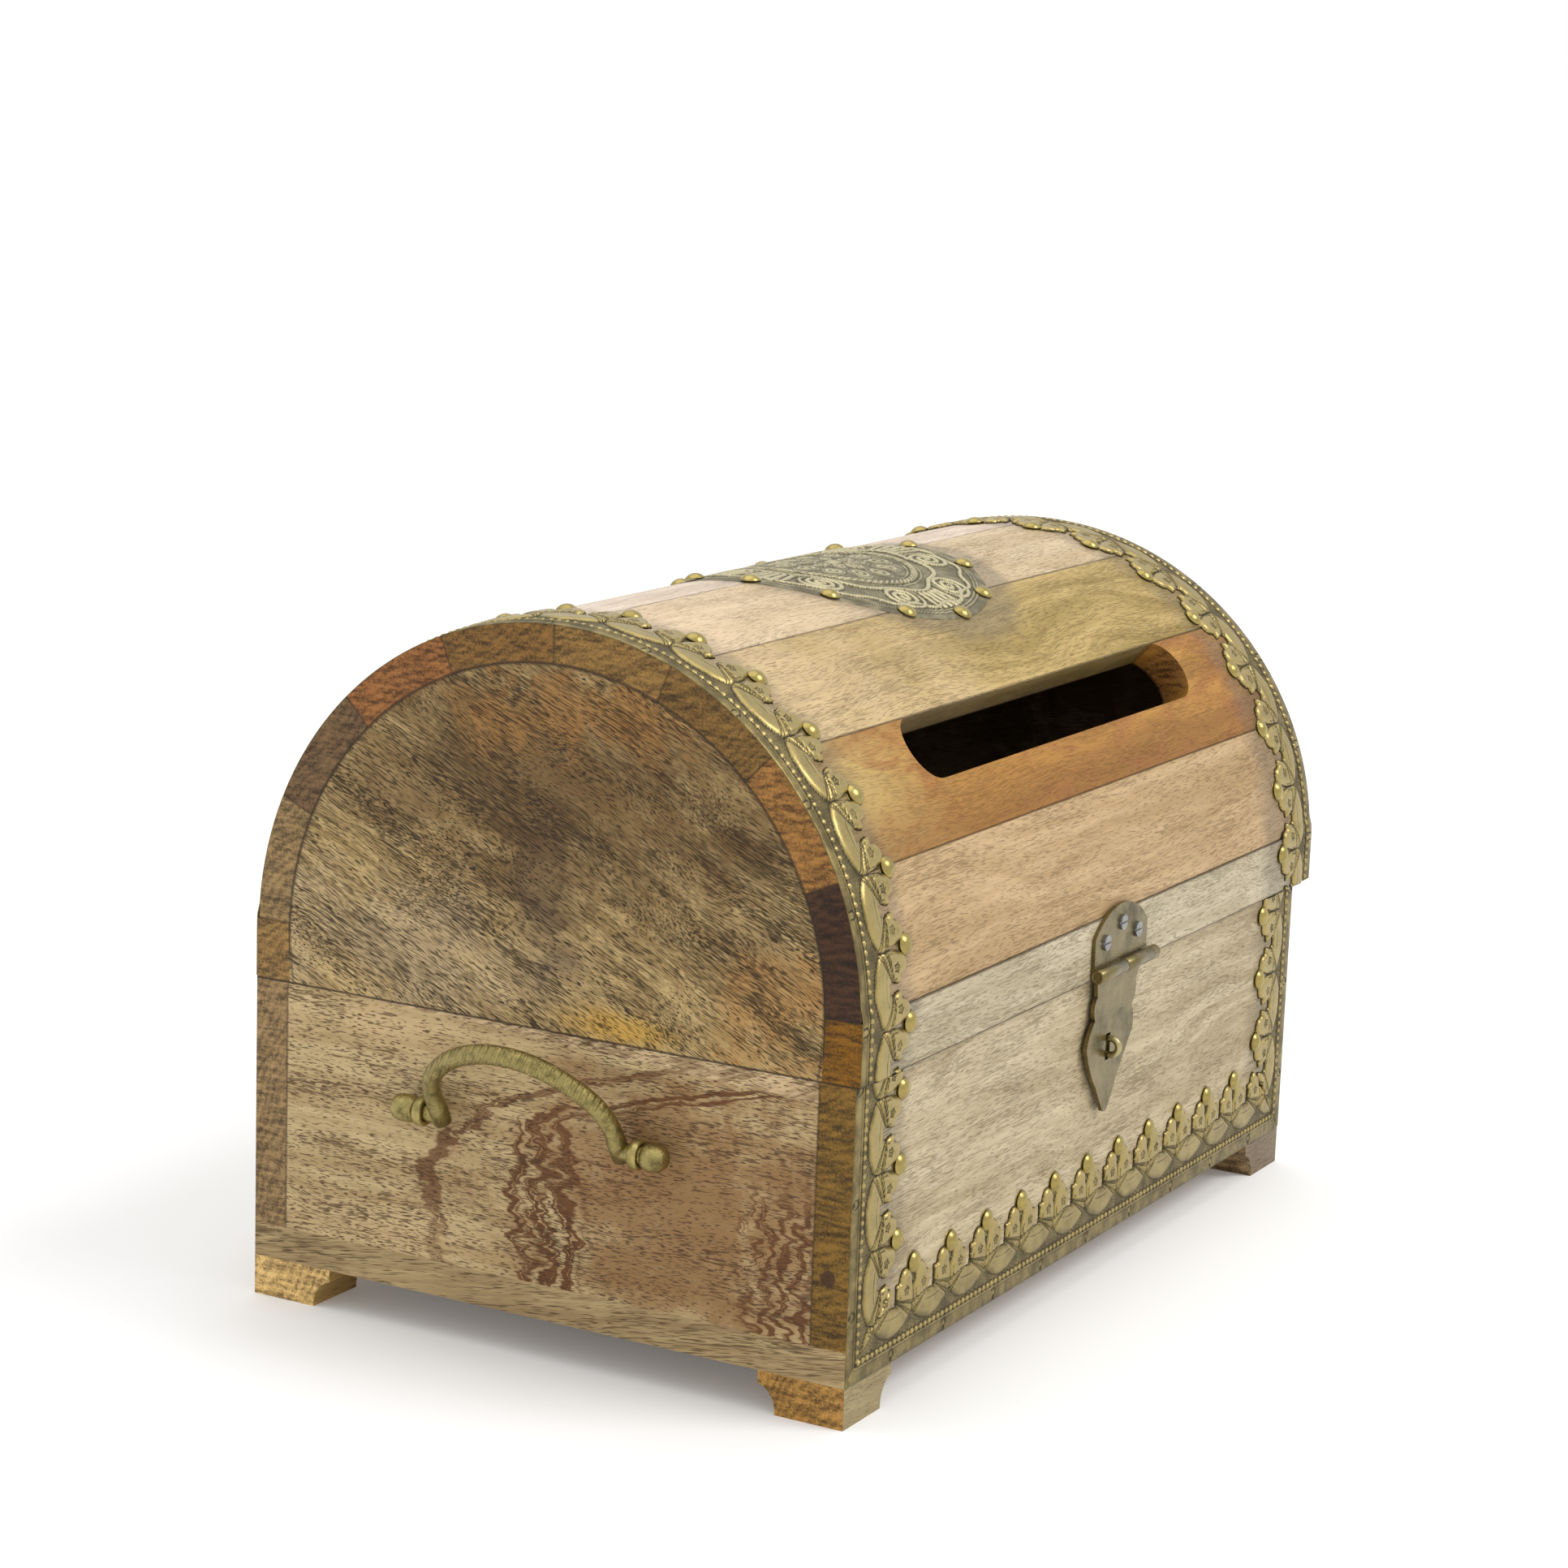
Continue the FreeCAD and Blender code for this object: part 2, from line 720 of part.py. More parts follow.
def make_hasp_strap():
    # Its back is flush with the back of its knuckle, so it clears the staple's plate.
    y = strap_back

    def place(share, side_share):
        lean = hasp_strap_lean * min(1.0, strap_lean_rate_share * share)
        x = hasp_centre + hasp_strap_width * side_share - lean
        return V(x, y, hasp_axis.z - hasp_strap_length * share)

    edges = []
    for side in (-1, 1):
        for shares in strap_width_shares:
            points = [place(share, side * width) for share, width in shares]
            edges.append(Part.Arc(*points).toShape())
    last_share, last_width = strap_width_shares[-1][-1]
    left = place(last_share, -last_width)
    right = place(last_share, last_width)
    edges.append(Part.Arc(left, place(1.0, 0), right).toShape())
    first_width = strap_width_shares[0][0][1]
    edges.append(line(place(0, -first_width), place(0, first_width)))
    strap = prism(Part.__sortEdges__(edges), V(0, -hasp_strap_thickness, 0))
    clear = hasp_knuckle_radius + hasp_end_gap
    low = V(hasp_centre - hasp_strap_width, y - clear, hasp_axis.z - clear)
    strap = strap.cut(block(low, V(hasp_centre + hasp_end_gap / 2, y + clear, hasp_axis.z + clear)))
    start = V(hasp_centre + hasp_end_gap / 2, hasp_axis.y, hasp_axis.z)
    length = hasp_half - hasp_end_gap / 2
    strap = strap.fuse(faceted_rod(start, ALONG, hasp_knuckle_radius, length, knuckle_facets))
    bore = rod(start - ALONG * overrun, ALONG, hasp_pin_radius + hinge_pin_clearance, hasp_plate_width)
    strap = strap.cut(bore)
    slit_half = staple_bend_radius + staple_wire_radius + slit_clearance
    slit_side = staple_wire_radius + slit_clearance
    low = V(staple_x - slit_side, y - clear, staple_z - slit_half)
    strap = strap.cut(block(low, V(staple_x + slit_side, y + clear, staple_z + slit_half)))
    save("hasp_strap", strap.removeSplitter())


def make_hasp_pin():
    start = V(hasp_centre - hasp_half, hasp_axis.y, hasp_axis.z)
    pin = rod(start, ALONG, hasp_pin_radius, hasp_plate_width + hasp_end_gap)
    sleeve_start = start + ALONG * (hasp_plate_width + hasp_end_gap)
    sleeve = faceted_rod(sleeve_start, ALONG, hasp_knuckle_radius, hasp_pin_overhang, knuckle_facets)
    save("hasp_pin", pin.fuse(sleeve))


def make_staple():
    face = front_face
    half_width = staple_plate_width / 2
    half_height = staple_plate_height / 2
    x = staple_x
    low = V(x - half_width, face - staple_plate_thickness, staple_z - half_height)
    plate = block(low, V(x + half_width, face, staple_z + half_height))
    outer = strap_back - hasp_strap_thickness - staple_reach
    bend = outer + staple_wire_radius + staple_bend_radius
    seat = face - staple_plate_thickness / 2
    stations = bend_stations(V(x, bend, staple_z), staple_bend_radius, math.pi / 2,
                             math.pi * 3 / 2, staple_bend_steps)
    start = V(x, seat, staple_z + staple_bend_radius)
    end = V(x, seat, staple_z - staple_bend_radius)
    stations = [(start, BACK * -1)] + stations + [(end, BACK)]
    loop = faceted_bar(stations, staple_wire_radius, staple_facets)
    save("hasp_staple", plate.fuse(loop))


# Drop handles

def bail_stations():
    # Upright legs, a corner arc on each side and a flatter crown arc between them.
    spread = bail_half_width - bail_corner_radius
    rise = bail_rise - bail_leg - bail_corner_radius
    turn = math.pi / 2 - 2 * math.atan(rise / spread)
    crown_radius = spread / math.cos(turn) + bail_corner_radius
    crown_height = bail_leg - (crown_radius - bail_corner_radius) * math.sin(turn)
    near = V(0, spread, bail_leg)
    far = V(0, -spread, bail_leg)
    stations = [(V(0, bail_half_width, 0), UP)]
    stations += bend_stations(near, bail_corner_radius, 0, turn, bail_corner_steps)
    stations += bend_stations(V(0, 0, crown_height), crown_radius, turn, math.pi - turn,
                              bail_crown_steps)[1:]
    stations += bend_stations(far, bail_corner_radius, math.pi - turn, math.pi,
                              bail_corner_steps)[1:]
    return stations + [(V(0, -bail_half_width, 0), UP * -1)]


def finial(side):
    start = eye_centre + eye_width / 2 + eye_side_gap
    knee = finial_rounding / 2
    rings = [
        (finial_radius - knee, 0), (finial_radius, knee),
        (finial_radius, finial_length - 2 * knee), (finial_radius - 2 * knee, finial_length),
    ]
    knob = faceted_turning(rings, finial_facets)
    knob.Placement = FreeCAD.Placement(V(0, side * start, 0), FreeCAD.Rotation(UP, BACK * side))
    return knob


def make_bail():
    # A cast bow of flats between two square feet, with a pin and a knob outside each eye.
    bail = faceted_bar(bail_stations(), bail_radius, bail_facets)
    for side in (-1, 1):
        half = bail_radius
        low = V(-half, side * bail_half_width - half, -bail_foot_drop)
        leg = block(low, low + V(2 * half, 2 * half, bail_foot_length))
        uprights = [edge for edge in leg.Edges if abs(edge.BoundBox.ZLength - bail_foot_length) < half]
        leg = leg.makeChamfer(half * bail_foot_bevel_share, uprights)
        start = V(0, side * bail_half_width, 0)
        reach = eye_centre + eye_width / 2 + eye_side_gap - bail_half_width
        pin = rod(start, BACK * side, pin_radius, reach + finial_rounding)
        bail = bail.fuse([leg, pin, finial(side)])
    return bail.removeSplitter()


def make_handles():
    bail = make_bail()
    for side, name in ((-1, "left"), (1, "right")):
        pivot = V(side * (half_length + handle_standoff), 0, handle_axis_height)
        piece = bail.copy()
        piece.rotate(V(0, 0, 0), BACK, side * handle_tilt)
        piece.translate(pivot)
        save(f"{name}_bail", piece)
        eyes = []
        for row in (-1, 1):
            centre = pivot + V(0, row * eye_centre, 0)
            start = centre - V(0, eye_width / 2, 0)
            outer = pin_radius + pin_clearance + eye_wall
            ring = faceted_rod(start, BACK, outer, eye_width, eye_facets)
            shank_start = centre - ALONG * (side * (pin_radius + pin_clearance))
            shank_length = handle_standoff - pin_radius - pin_clearance + eye_shank_depth
            shank = faceted_rod(shank_start, ALONG * -side, eye_shank_radius, shank_length, shank_facets)
            eye = ring.fuse(shank)
            bore = rod(start - BACK * overrun, BACK, pin_radius + pin_clearance,
                       eye_width + 2 * overrun)
            eyes.append(eye.cut(bore))
        save(f"{name}_handle_eyes", Part.makeCompound(eyes))


# Hinges

hinge_axis = V(0, half_depth + hinge_knuckle_radius + hinge_standoff, seam)


def hinge_leaf(side, centre, knuckles, face):
    # A leaf on the back face, with its own knuckles and room for the other leaf's.
    half = hinge_width / 2
    gap = hinge_knuckle_radius + hinge_side_gap
    near = seam + side * gap
    far = seam + side * hinge_leaf_height
    plate_low = V(centre - half, face, min(near, far))
    plate = block(plate_low, V(centre + half, face + hinge_leaf_thickness, max(near, far)))
    for start, end in knuckles:
        origin = V(centre + start, hinge_axis.y, seam)
        knuckle = faceted_rod(origin, ALONG, hinge_knuckle_radius, end - start, knuckle_facets)
        plate = plate.fuse(knuckle)
        tongue_low = V(centre + start, face, min(seam, near))
        tongue_high = V(centre + end, face + hinge_leaf_thickness, max(seam, near))
        plate = plate.fuse(block(tongue_low, tongue_high))
    bore_radius = hinge_pin_radius + (hinge_pin_clearance if side < 0 else 0.0)
    bore_start = V(centre - half - overrun, hinge_axis.y, seam)
    bore = rod(bore_start, ALONG, bore_radius, hinge_width + 2 * overrun)
    return plate.cut(bore).removeSplitter()


def make_hinges():
    half = hinge_width / 2
    sixth = hinge_width / 6
    inner = [(-sixth + hinge_side_gap / 2, sixth - hinge_side_gap / 2)]
    outer = [(-half, -sixth - hinge_side_gap / 2), (sixth + hinge_side_gap / 2, half)]
    base_leaves, lid_leaves, pins, base_screws, lid_screws = [], [], [], [], []
    for side in (-1, 1):
        centre = side * hinge_centre
        base_leaves.append(hinge_leaf(-1, centre, inner, half_depth))
        lid_leaves.append(hinge_leaf(1, centre, outer, rim_back))
        start = V(centre - half, hinge_axis.y, seam)
        pins.append(rod(start, ALONG, hinge_pin_radius, hinge_width))
        for row in (-1, 1):
            x = centre + row * (half - hinge_screw_edge)
            low = V(x, half_depth + hinge_leaf_thickness, seam - hinge_screw_drop)
            high = V(x, rim_back + hinge_leaf_thickness, seam + hinge_screw_drop)
            for place, group in ((low, base_screws), (high, lid_screws)):
                group.append(slotted_screw(place, BACK, hinge_screw_radius, hinge_screw_height))
    groups = {
        "hinge_base_leaves": base_leaves,
        "hinge_lid_leaves": lid_leaves,
        "hinge_pins": pins,
        "hinge_base_screws": base_screws,
        "hinge_lid_screws": lid_screws,
    }
    for name, pieces in groups.items():
        save(name, Part.makeCompound(pieces))


os.makedirs("parts", exist_ok=True)
make_carcass()
make_feet()
make_rim(-1, "front_rim_stave")
make_rim(1, "back_rim_stave")
make_staves()
make_lid_ends()
make_arch_strips()
make_base_strips()
make_nails()
make_medallion()
make_hasp_plate()
make_hasp_screws()
make_hasp_strap()
make_hasp_pin()
make_staple()
make_handles()
make_hinges()
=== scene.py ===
import math

import bmesh
import bpy
import numpy as np
from bpy.props import FloatProperty, FloatVectorProperty, IntProperty, PointerProperty
from mathutils import Matrix, Vector


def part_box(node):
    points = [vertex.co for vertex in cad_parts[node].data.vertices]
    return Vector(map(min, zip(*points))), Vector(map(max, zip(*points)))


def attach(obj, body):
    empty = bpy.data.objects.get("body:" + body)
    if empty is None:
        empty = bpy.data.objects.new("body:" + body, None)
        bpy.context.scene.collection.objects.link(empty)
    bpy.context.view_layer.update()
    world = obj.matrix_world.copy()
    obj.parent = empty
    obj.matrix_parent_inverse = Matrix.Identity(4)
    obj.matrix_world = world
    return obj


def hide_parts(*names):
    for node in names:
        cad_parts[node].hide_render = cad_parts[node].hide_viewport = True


bl_info = {
    "name": "Dowry chest dressing",
    "version": (1, 0, 0),
    "blender": (4, 5, 0),
    "location": "3D View > Sidebar > Chest",
    "description": "Dresses a domed wooden chest with figured wood, embossed brass and cast fittings",
    "category": "Object",
}

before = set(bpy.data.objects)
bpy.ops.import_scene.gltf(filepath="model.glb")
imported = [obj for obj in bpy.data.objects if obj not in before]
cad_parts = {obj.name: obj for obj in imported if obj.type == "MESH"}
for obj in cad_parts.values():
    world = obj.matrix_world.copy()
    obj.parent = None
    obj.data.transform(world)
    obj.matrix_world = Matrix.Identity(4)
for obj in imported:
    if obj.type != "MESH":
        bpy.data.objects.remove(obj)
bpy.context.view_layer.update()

MM = 0.001


# Sizes read from the frame, in millimetres

def node_box(name):
    """The corners of a node's box, in millimetres."""
    low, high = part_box(name)
    return low / MM, high / MM


HALF_LENGTH = node_box("right_end_board")[1].x
END_BOARD_HALF = node_box("left_end_board")[1].y
FRONT_FACE = node_box("front_board")[0].y
SEAM = node_box("front_board")[1].z
FLOOR_EDGE = node_box("bottom_board")[0].z
RIM_FACE = node_box("front_rim_stave")[0].y
DOME_FRONT = node_box("stave_1")[0].y
DOME_BACK = node_box("stave_8")[1].y
DOME_RADIUS = (DOME_BACK - DOME_FRONT) / 2
DOME_CENTRE = Vector((0, (DOME_BACK + DOME_FRONT) / 2, node_box("stave_4")[1].z - DOME_RADIUS))
STAVE_THICKNESS = 14.0
DOME_INNER = DOME_RADIUS - STAVE_THICKNESS
STAVE_ANGLE = math.radians(22.1)
RIM_ANGLE = math.radians(1.6)
QUARTER = math.pi / 2


# Settings that a user may change

class ChestWood(bpy.types.PropertyGroup):
    """Pores and wax of every wooden piece"""

    fleck_length: FloatProperty(
        name="Fleck length", description="Length of the dark pores along the grain, in mm",
        default=2.9, min=0.5, max=20.0)
    fleck_width: FloatProperty(
        name="Fleck width", description="Width of the dark pores across the grain, in mm",
        default=0.3, min=0.05, max=2.0)
    wax: FloatProperty(
        name="Wax", description="Roughness of the waxed surface", default=0.5, min=0.05, max=1.0)
    grain_relief: FloatProperty(
        name="Grain relief", description="Depth of the open pores", default=0.00025, min=0.0,
        max=0.002, subtype="DISTANCE", unit="LENGTH")


class ChestBrass(bpy.types.PropertyGroup):
    """Colours and relief of the embossed sheets and their nails"""

    brass: FloatVectorProperty(
        name="Brass", description="Raised parts of the embossed sheet", subtype="COLOR",
        default=(0.31, 0.24, 0.092), min=0.0, max=1.0)
    patina: FloatVectorProperty(
        name="Patina", description="Recesses of the embossed sheet", subtype="COLOR",
        default=(0.04, 0.028, 0.01), min=0.0, max=1.0)
    plaque: FloatVectorProperty(
        name="Plaque", description="Raised parts of the medallion", subtype="COLOR",
        default=(0.43, 0.38, 0.23), min=0.0, max=1.0)
    plaque_patina: FloatVectorProperty(
        name="Plaque patina", description="Recesses of the medallion", subtype="COLOR",
        default=(0.085, 0.07, 0.036), min=0.0, max=1.0)
    gold: FloatVectorProperty(
        name="Nail heads", description="Bright nail heads", subtype="COLOR",
        default=(0.36, 0.28, 0.09), min=0.0, max=1.0)
    cell: FloatProperty(
        name="Sheet detail", description="Spacing of the embossed sheet's mesh, in mm",
        default=0.52, min=0.3, max=3.0)
    emboss: FloatProperty(
        name="Emboss", description="Height of the raised leaves, in mm", default=1.5, min=0.0,
        max=3.0)


class ChestHandle(bpy.types.PropertyGroup):
    """The two cast drop handles"""

    bar_radius: FloatProperty(
        name="Bar radius", description="Radius of the cast bow, in mm", default=3.6, min=1.0,
        max=6.0)
    ring_sides: IntProperty(
        name="Ring sides", description="Faces round each turned or swept piece", default=28, min=8,
        max=64)
    cast_brass: FloatVectorProperty(
        name="Cast brass", description="Colour of the drop handles", subtype="COLOR",
        default=(0.34, 0.275, 0.10), min=0.0, max=1.0)


class ChestStage(bpy.types.PropertyGroup):
    """The camera that takes the picture"""

    lens: FloatProperty(
        name="Lens", description="Focal length on a 36 mm frame", default=87.506, min=10.0,
        max=300.0)
    camera_place: FloatVectorProperty(
        name="Camera", description="Where the camera stands", subtype="XYZ", unit="LENGTH",
        default=(-1.2834, -0.7012, 0.4731))
    heading: FloatProperty(
        name="Heading", description="Horizontal direction of view from the X axis",
        subtype="ANGLE", unit="ROTATION", default=math.radians(29.144))
    dip: FloatProperty(
        name="Dip", description="How far the view looks down", subtype="ANGLE",
        unit="ROTATION", default=math.radians(11.386))
    roll: FloatProperty(
        name="Roll", description="Turn of the camera about its view", subtype="ANGLE",
        unit="ROTATION", default=math.radians(2.020))


# Shader building

class Field:
    """A number that varies over a surface. Sums on it add Math nodes."""

    def __init__(self, finish, socket):
        self.finish = finish
        self.socket = socket

    def math(self, operation, *others):
        return self.finish.math(operation, self, *others)

    def __add__(self, other):
        return self.math("ADD", other)

    def __radd__(self, other):
        return self.finish.math("ADD", other, self)

    def __sub__(self, other):
        return self.math("SUBTRACT", other)

    def __rsub__(self, other):
        return self.finish.math("SUBTRACT", other, self)

    def __mul__(self, other):
        return self.math("MULTIPLY", other)

    def __rmul__(self, other):
        return self.finish.math("MULTIPLY", other, self)

    def __truediv__(self, other):
        return self.math("DIVIDE", other)

    def __pow__(self, other):
        return self.math("POWER", other)

    def __abs__(self):
        return self.math("ABSOLUTE")

    def sine(self):
        return self.math("SINE")

    def larger(self, other):
        return self.math("MAXIMUM", other)

    def rise(self, low, high):
        """A smooth step from zero at low to one at high."""
        node = self.finish.node(
            "ShaderNodeMapRange", {"interpolation_type": "SMOOTHSTEP"},
            {"Value": self, "From Min": low, "From Max": high})
        return Field(self.finish, node.outputs["Result"])


class Finish:
    """A material with its shader, and short calls for its nodes."""

    def __init__(self, name):
        self.material = bpy.data.materials.new(name)
        self.material.use_nodes = True
        self.tree = self.material.node_tree
        self.shader = self.tree.nodes["Principled BSDF"]
        self.coordinates = self.node("ShaderNodeTexCoord").outputs["Object"]

    def node(self, kind, settings=None, sockets=None):
        node = self.tree.nodes.new(kind)
        for key, value in (settings or {}).items():
            setattr(node, key, value)
        pairs = enumerate(sockets) if isinstance(sockets, list) else (sockets or {}).items()
        for key, value in pairs:
            self.feed(node.inputs[key], value)
        return node

    def feed(self, socket, value):
        if isinstance(value, Field):
            value = value.socket
        if isinstance(value, bpy.types.NodeSocket):
            self.tree.links.new(value, socket)
        elif socket.type == "RGBA" and len(value) == 3:
            socket.default_value = (*value, 1.0)
        else:
            socket.default_value = value

    def math(self, operation, *values):
        node = self.node("ShaderNodeMath", {"operation": operation}, list(values))
        return Field(self, node.outputs[0])

    def set(self, **sockets):
        for key, value in sockets.items():
            self.feed(self.shader.inputs[key.replace("_", " ")], value)
        return self

    def place(self, turn=(0, 0, 0), shift=(0, 0, 0), stretch=(1, 1, 1)):
        """Object coordinates in millimetres, moved, turned and stretched."""
        moved = self.node("ShaderNodeVectorMath", {"operation": "ADD"},
                          [self.coordinates, tuple(value * MM for value in shift)])
        turned = self.node("ShaderNodeMapping", {"vector_type": "POINT"},
                           {"Vector": moved.outputs[0], "Rotation": turn,
                            "Scale": tuple(value / MM for value in stretch)})
        return turned.outputs[0]

    def xyz(self):
        """The three object coordinates, in millimetres."""
        return self.parts(self.place())

    def stretch(self, vector, factors):
        return self.node("ShaderNodeVectorMath", {"operation": "MULTIPLY"},
                         [vector, factors]).outputs[0]

    def noise(self, vector, scale=1.0, detail=2.0, rough=0.5, distort=0.0):
        node = self.node("ShaderNodeTexNoise", None, {
            "Vector": vector, "Scale": scale, "Detail": detail, "Roughness": rough,
            "Distortion": distort})
        return Field(self, node.outputs["Fac"])

    def parts(self, vector):
        node = self.node("ShaderNodeSeparateXYZ", None, [vector])
        return [Field(self, output) for output in node.outputs]

    def joined(self, x, y, z):
        return self.node("ShaderNodeCombineXYZ", None, [x, y, z]).outputs[0]

    def mix(self, share, first, second):
        node = self.node("ShaderNodeMix", {"data_type": "RGBA"})
        self.feed(node.inputs[0], share)
        self.feed(node.inputs[6], first)
        self.feed(node.inputs[7], second)
        return node.outputs[2]

    def attribute(self, name):
        node = self.node("ShaderNodeAttribute", {"attribute_name": name})
        return Field(self, node.outputs["Fac"])

    def facing(self, axis):
        """How squarely the surface faces along an axis of the chest."""
        normal = self.node("ShaderNodeTexCoord").outputs["Normal"]
        return abs(self.parts(normal)[axis])

    def bump(self, height, distance, strength=1.0):
        node = self.node("ShaderNodeBump", None, {
            "Height": height, "Distance": distance, "Strength": strength})
        self.feed(self.shader.inputs["Normal"], node.outputs["Normal"])
        return self


def shaded(colour, factor):
    """A darker or lighter shade of a colour."""
    return tuple(min(1.0, value * factor) for value in colour)


def dome_reach(finish):
    """Distance from the axis of the dome, in mm."""
    x, y, z = finish.xyz()
    depth, height = y - DOME_CENTRE.y, z - DOME_CENTRE.z
    return (depth * depth + height * height) ** 0.5


def joint_shade(finish, kind):
    """Dark hairlines where a board meets its neighbours."""
    x, y, z = finish.xyz()
    seam = abs(z - SEAM).rise(0.55, 0.25) * 1.6 * (1.0 - finish.facing(2).rise(0.7, 0.9))
    if kind == "box":
        side = abs(abs(y) - END_BOARD_HALF).rise(0.7, 0.2)
        return seam.larger(side * z.rise(FLOOR_EDGE + 12.0, FLOOR_EDGE + 14.0))
    radius = dome_reach(finish)
    if kind == "lid end":
        return seam.larger(abs(radius - DOME_INNER).rise(0.8, 0.25))
    angle = (z - DOME_CENTRE.z).math("ARCTAN2", abs(y - DOME_CENTRE.y))
    share = (angle - RIM_ANGLE) / STAVE_ANGLE
    gap = abs(share - (share + 0.5).math("FLOOR")) * STAVE_ANGLE * radius
    return gap.rise(0.7, 0.2).larger(seam)


def inner_side(finish):
    """The lid's inner face, stained dark."""
    return dome_reach(finish).rise(DOME_INNER + 1.2, DOME_INNER + 0.4)


def brass_dirt(finish):
    """Grey rubbings left beside the brass borders and the medallion."""
    x, y, z = finish.xyz()
    smudge = finish.noise(finish.place(stretch=(1.0, 1.6, 1.6)), 0.05, 4.0, 0.65)
    border = (abs(x) + (smudge - 0.5) * 34.0).rise(148.0, 166.0)
    wide = (x - 9.0) / 70.0
    deep = (y - DOME_CENTRE.y + 4.0) / 62.0
    plaque = ((wide * wide + deep * deep) ** 0.5 + (smudge - 0.5) * 0.25).rise(1.13, 0.98)
    plaque = plaque * z.rise(DOME_CENTRE.z + 90.0, DOME_CENTRE.z + 100.0)
    crown = z.rise(SEAM - 0.2, SEAM) * dome_reach(finish).rise(DOME_RADIUS - 4.0, DOME_RADIUS - 2.0)
    dressed = crown.larger(y.rise(FRONT_FACE + 2.0, FRONT_FACE + 1.0))
    outside = (abs(x) - HALF_LENGTH - 1.0).rise(0.0, -0.5)
    return border.larger(plaque) * dressed * outside * 0.48


def end_grain(finish, point, tone):
    """Growth rings cut across, with fine open pores between them."""
    along, across, deep = finish.parts(point)
    bow = finish.noise(finish.stretch(point, (0.02, 0.03, 0.03)), 1.0, 2.0)
    reach = ((across + 150.0) ** 2.0 + (deep + 60.0) ** 2.0) ** 0.5
    rings = (reach * 1.9 + (bow - 0.5) * 40.0).sine()
    grit = finish.noise(finish.stretch(point, (0.4, 1.1, 1.1)), 1.0, 4.0, 0.8)
    streak = finish.noise(finish.stretch(point, (0.05, 0.10, 0.5)), 1.0, 3.0, 0.7)
    share = (rings * 0.10 + (grit - 0.5) * 1.8 + (streak - 0.5) * 1.8 + 0.5).rise(0.0, 1.0)
    return finish.mix(share, shaded(tone, 0.32), shaded(tone, 1.68))


# What darkens the wood, as colours
KNOT = (0.055, 0.022, 0.01)
RUBBINGS = (0.13, 0.105, 0.075)
HAIRLINE = (0.02, 0.012, 0.006)
STAIN = (0.03, 0.018, 0.009)
PORE = (0.07, 0.04, 0.017)


def mango_wood(name, settings, light, dark, end, turn=(0, 0, 0), shift=(0, 0, 0), band=8.0,
               fleck_share=0.44, fleck_colour=PORE, figure=None, grain_axis=0,
               fleck_start=0.6, fleck_stretch=1.6, fleck_widen=1.0, bend=42.0, joint="box",
               knot=None):
    """Waxed mango wood: growth bands, short dark pores along the grain, and end grain."""
    finish = Finish(name)
    point = finish.place(turn, shift)
    along, across, deep = finish.parts(point)
    sway = finish.noise(finish.stretch(point, (0.007, 0.018, 0.018)), 1.0, 2.0)
    wander = (sway - 0.5) * bend
    bands = finish.noise(finish.joined(along * 0.004, (across + wander) / band, (deep + wander) / band),
                         1.0, 4.0, 0.62)
    tone = bands.rise(0.33, 0.68)
    colour = finish.mix(tone, dark, light)
    fine = finish.noise(finish.stretch(point, (0.05, 1.1, 1.1)), 1.0, 3.0, 0.6)
    colour = finish.mix(fine.rise(0.35, 0.75) * 0.45, colour, shaded(dark, 0.7))
    if figure is not None:
        colour = figure(finish, colour, point)
    sweep = wander * 0.35
    crowd = (finish.noise(finish.stretch(point, (0.02, 0.09, 0.09)), 1.0, 2.0) - 0.5) * 0.4
    long, wide = settings.fleck_length * fleck_stretch, settings.fleck_width * fleck_widen
    pores = finish.noise(finish.joined(along / long, (across + sweep) / wide, (deep + sweep) / wide),
                         1.0, 0.0)
    streaks = finish.noise(finish.joined(along / (long * 2.5), (across + sweep) / (wide * 2.2),
                                         (deep + sweep) / (wide * 2.2)), 1.0, 1.0)
    fleck = (pores + crowd).rise(fleck_start, fleck_start + 0.14)
    fleck = fleck.larger((streaks + crowd).rise(fleck_start + 0.02, fleck_start + 0.12) * 0.8)
    square = finish.facing(grain_axis).rise(0.6, 0.8)
    colour = finish.mix(fleck * (1.0 - square) * fleck_share, colour, fleck_colour)
    colour = finish.mix(square, colour, end_grain(finish, point, end))
    if knot is not None:
        x, y, z = finish.xyz()
        depth, height = y - knot[0], z - knot[1]
        spot = ((depth * depth + height * height) ** 0.5 + (fine - 0.5) * 1.6).rise(3.3, 2.6)
        colour = finish.mix(spot * square * 0.85, colour, KNOT)
    if grain_axis == 0:
        colour = finish.mix(brass_dirt(finish) * (1.0 - square), colour, RUBBINGS)
    colour = finish.mix(joint_shade(finish, joint) * 0.5, colour, HAIRLINE)
    if joint == "stave":
        colour = finish.mix(inner_side(finish) * 0.8, colour, STAIN)
    rough = settings.wax + (fleck * 0.2 + fine * 0.12 - 0.06)
    finish.set(Base_Color=colour, Roughness=rough)
    finish.shader.inputs["Specular IOR Level"].default_value = 0.25
    finish.bump((1.0 - fleck) + fine * 0.25, settings.grain_relief, 0.7)
    return finish.material


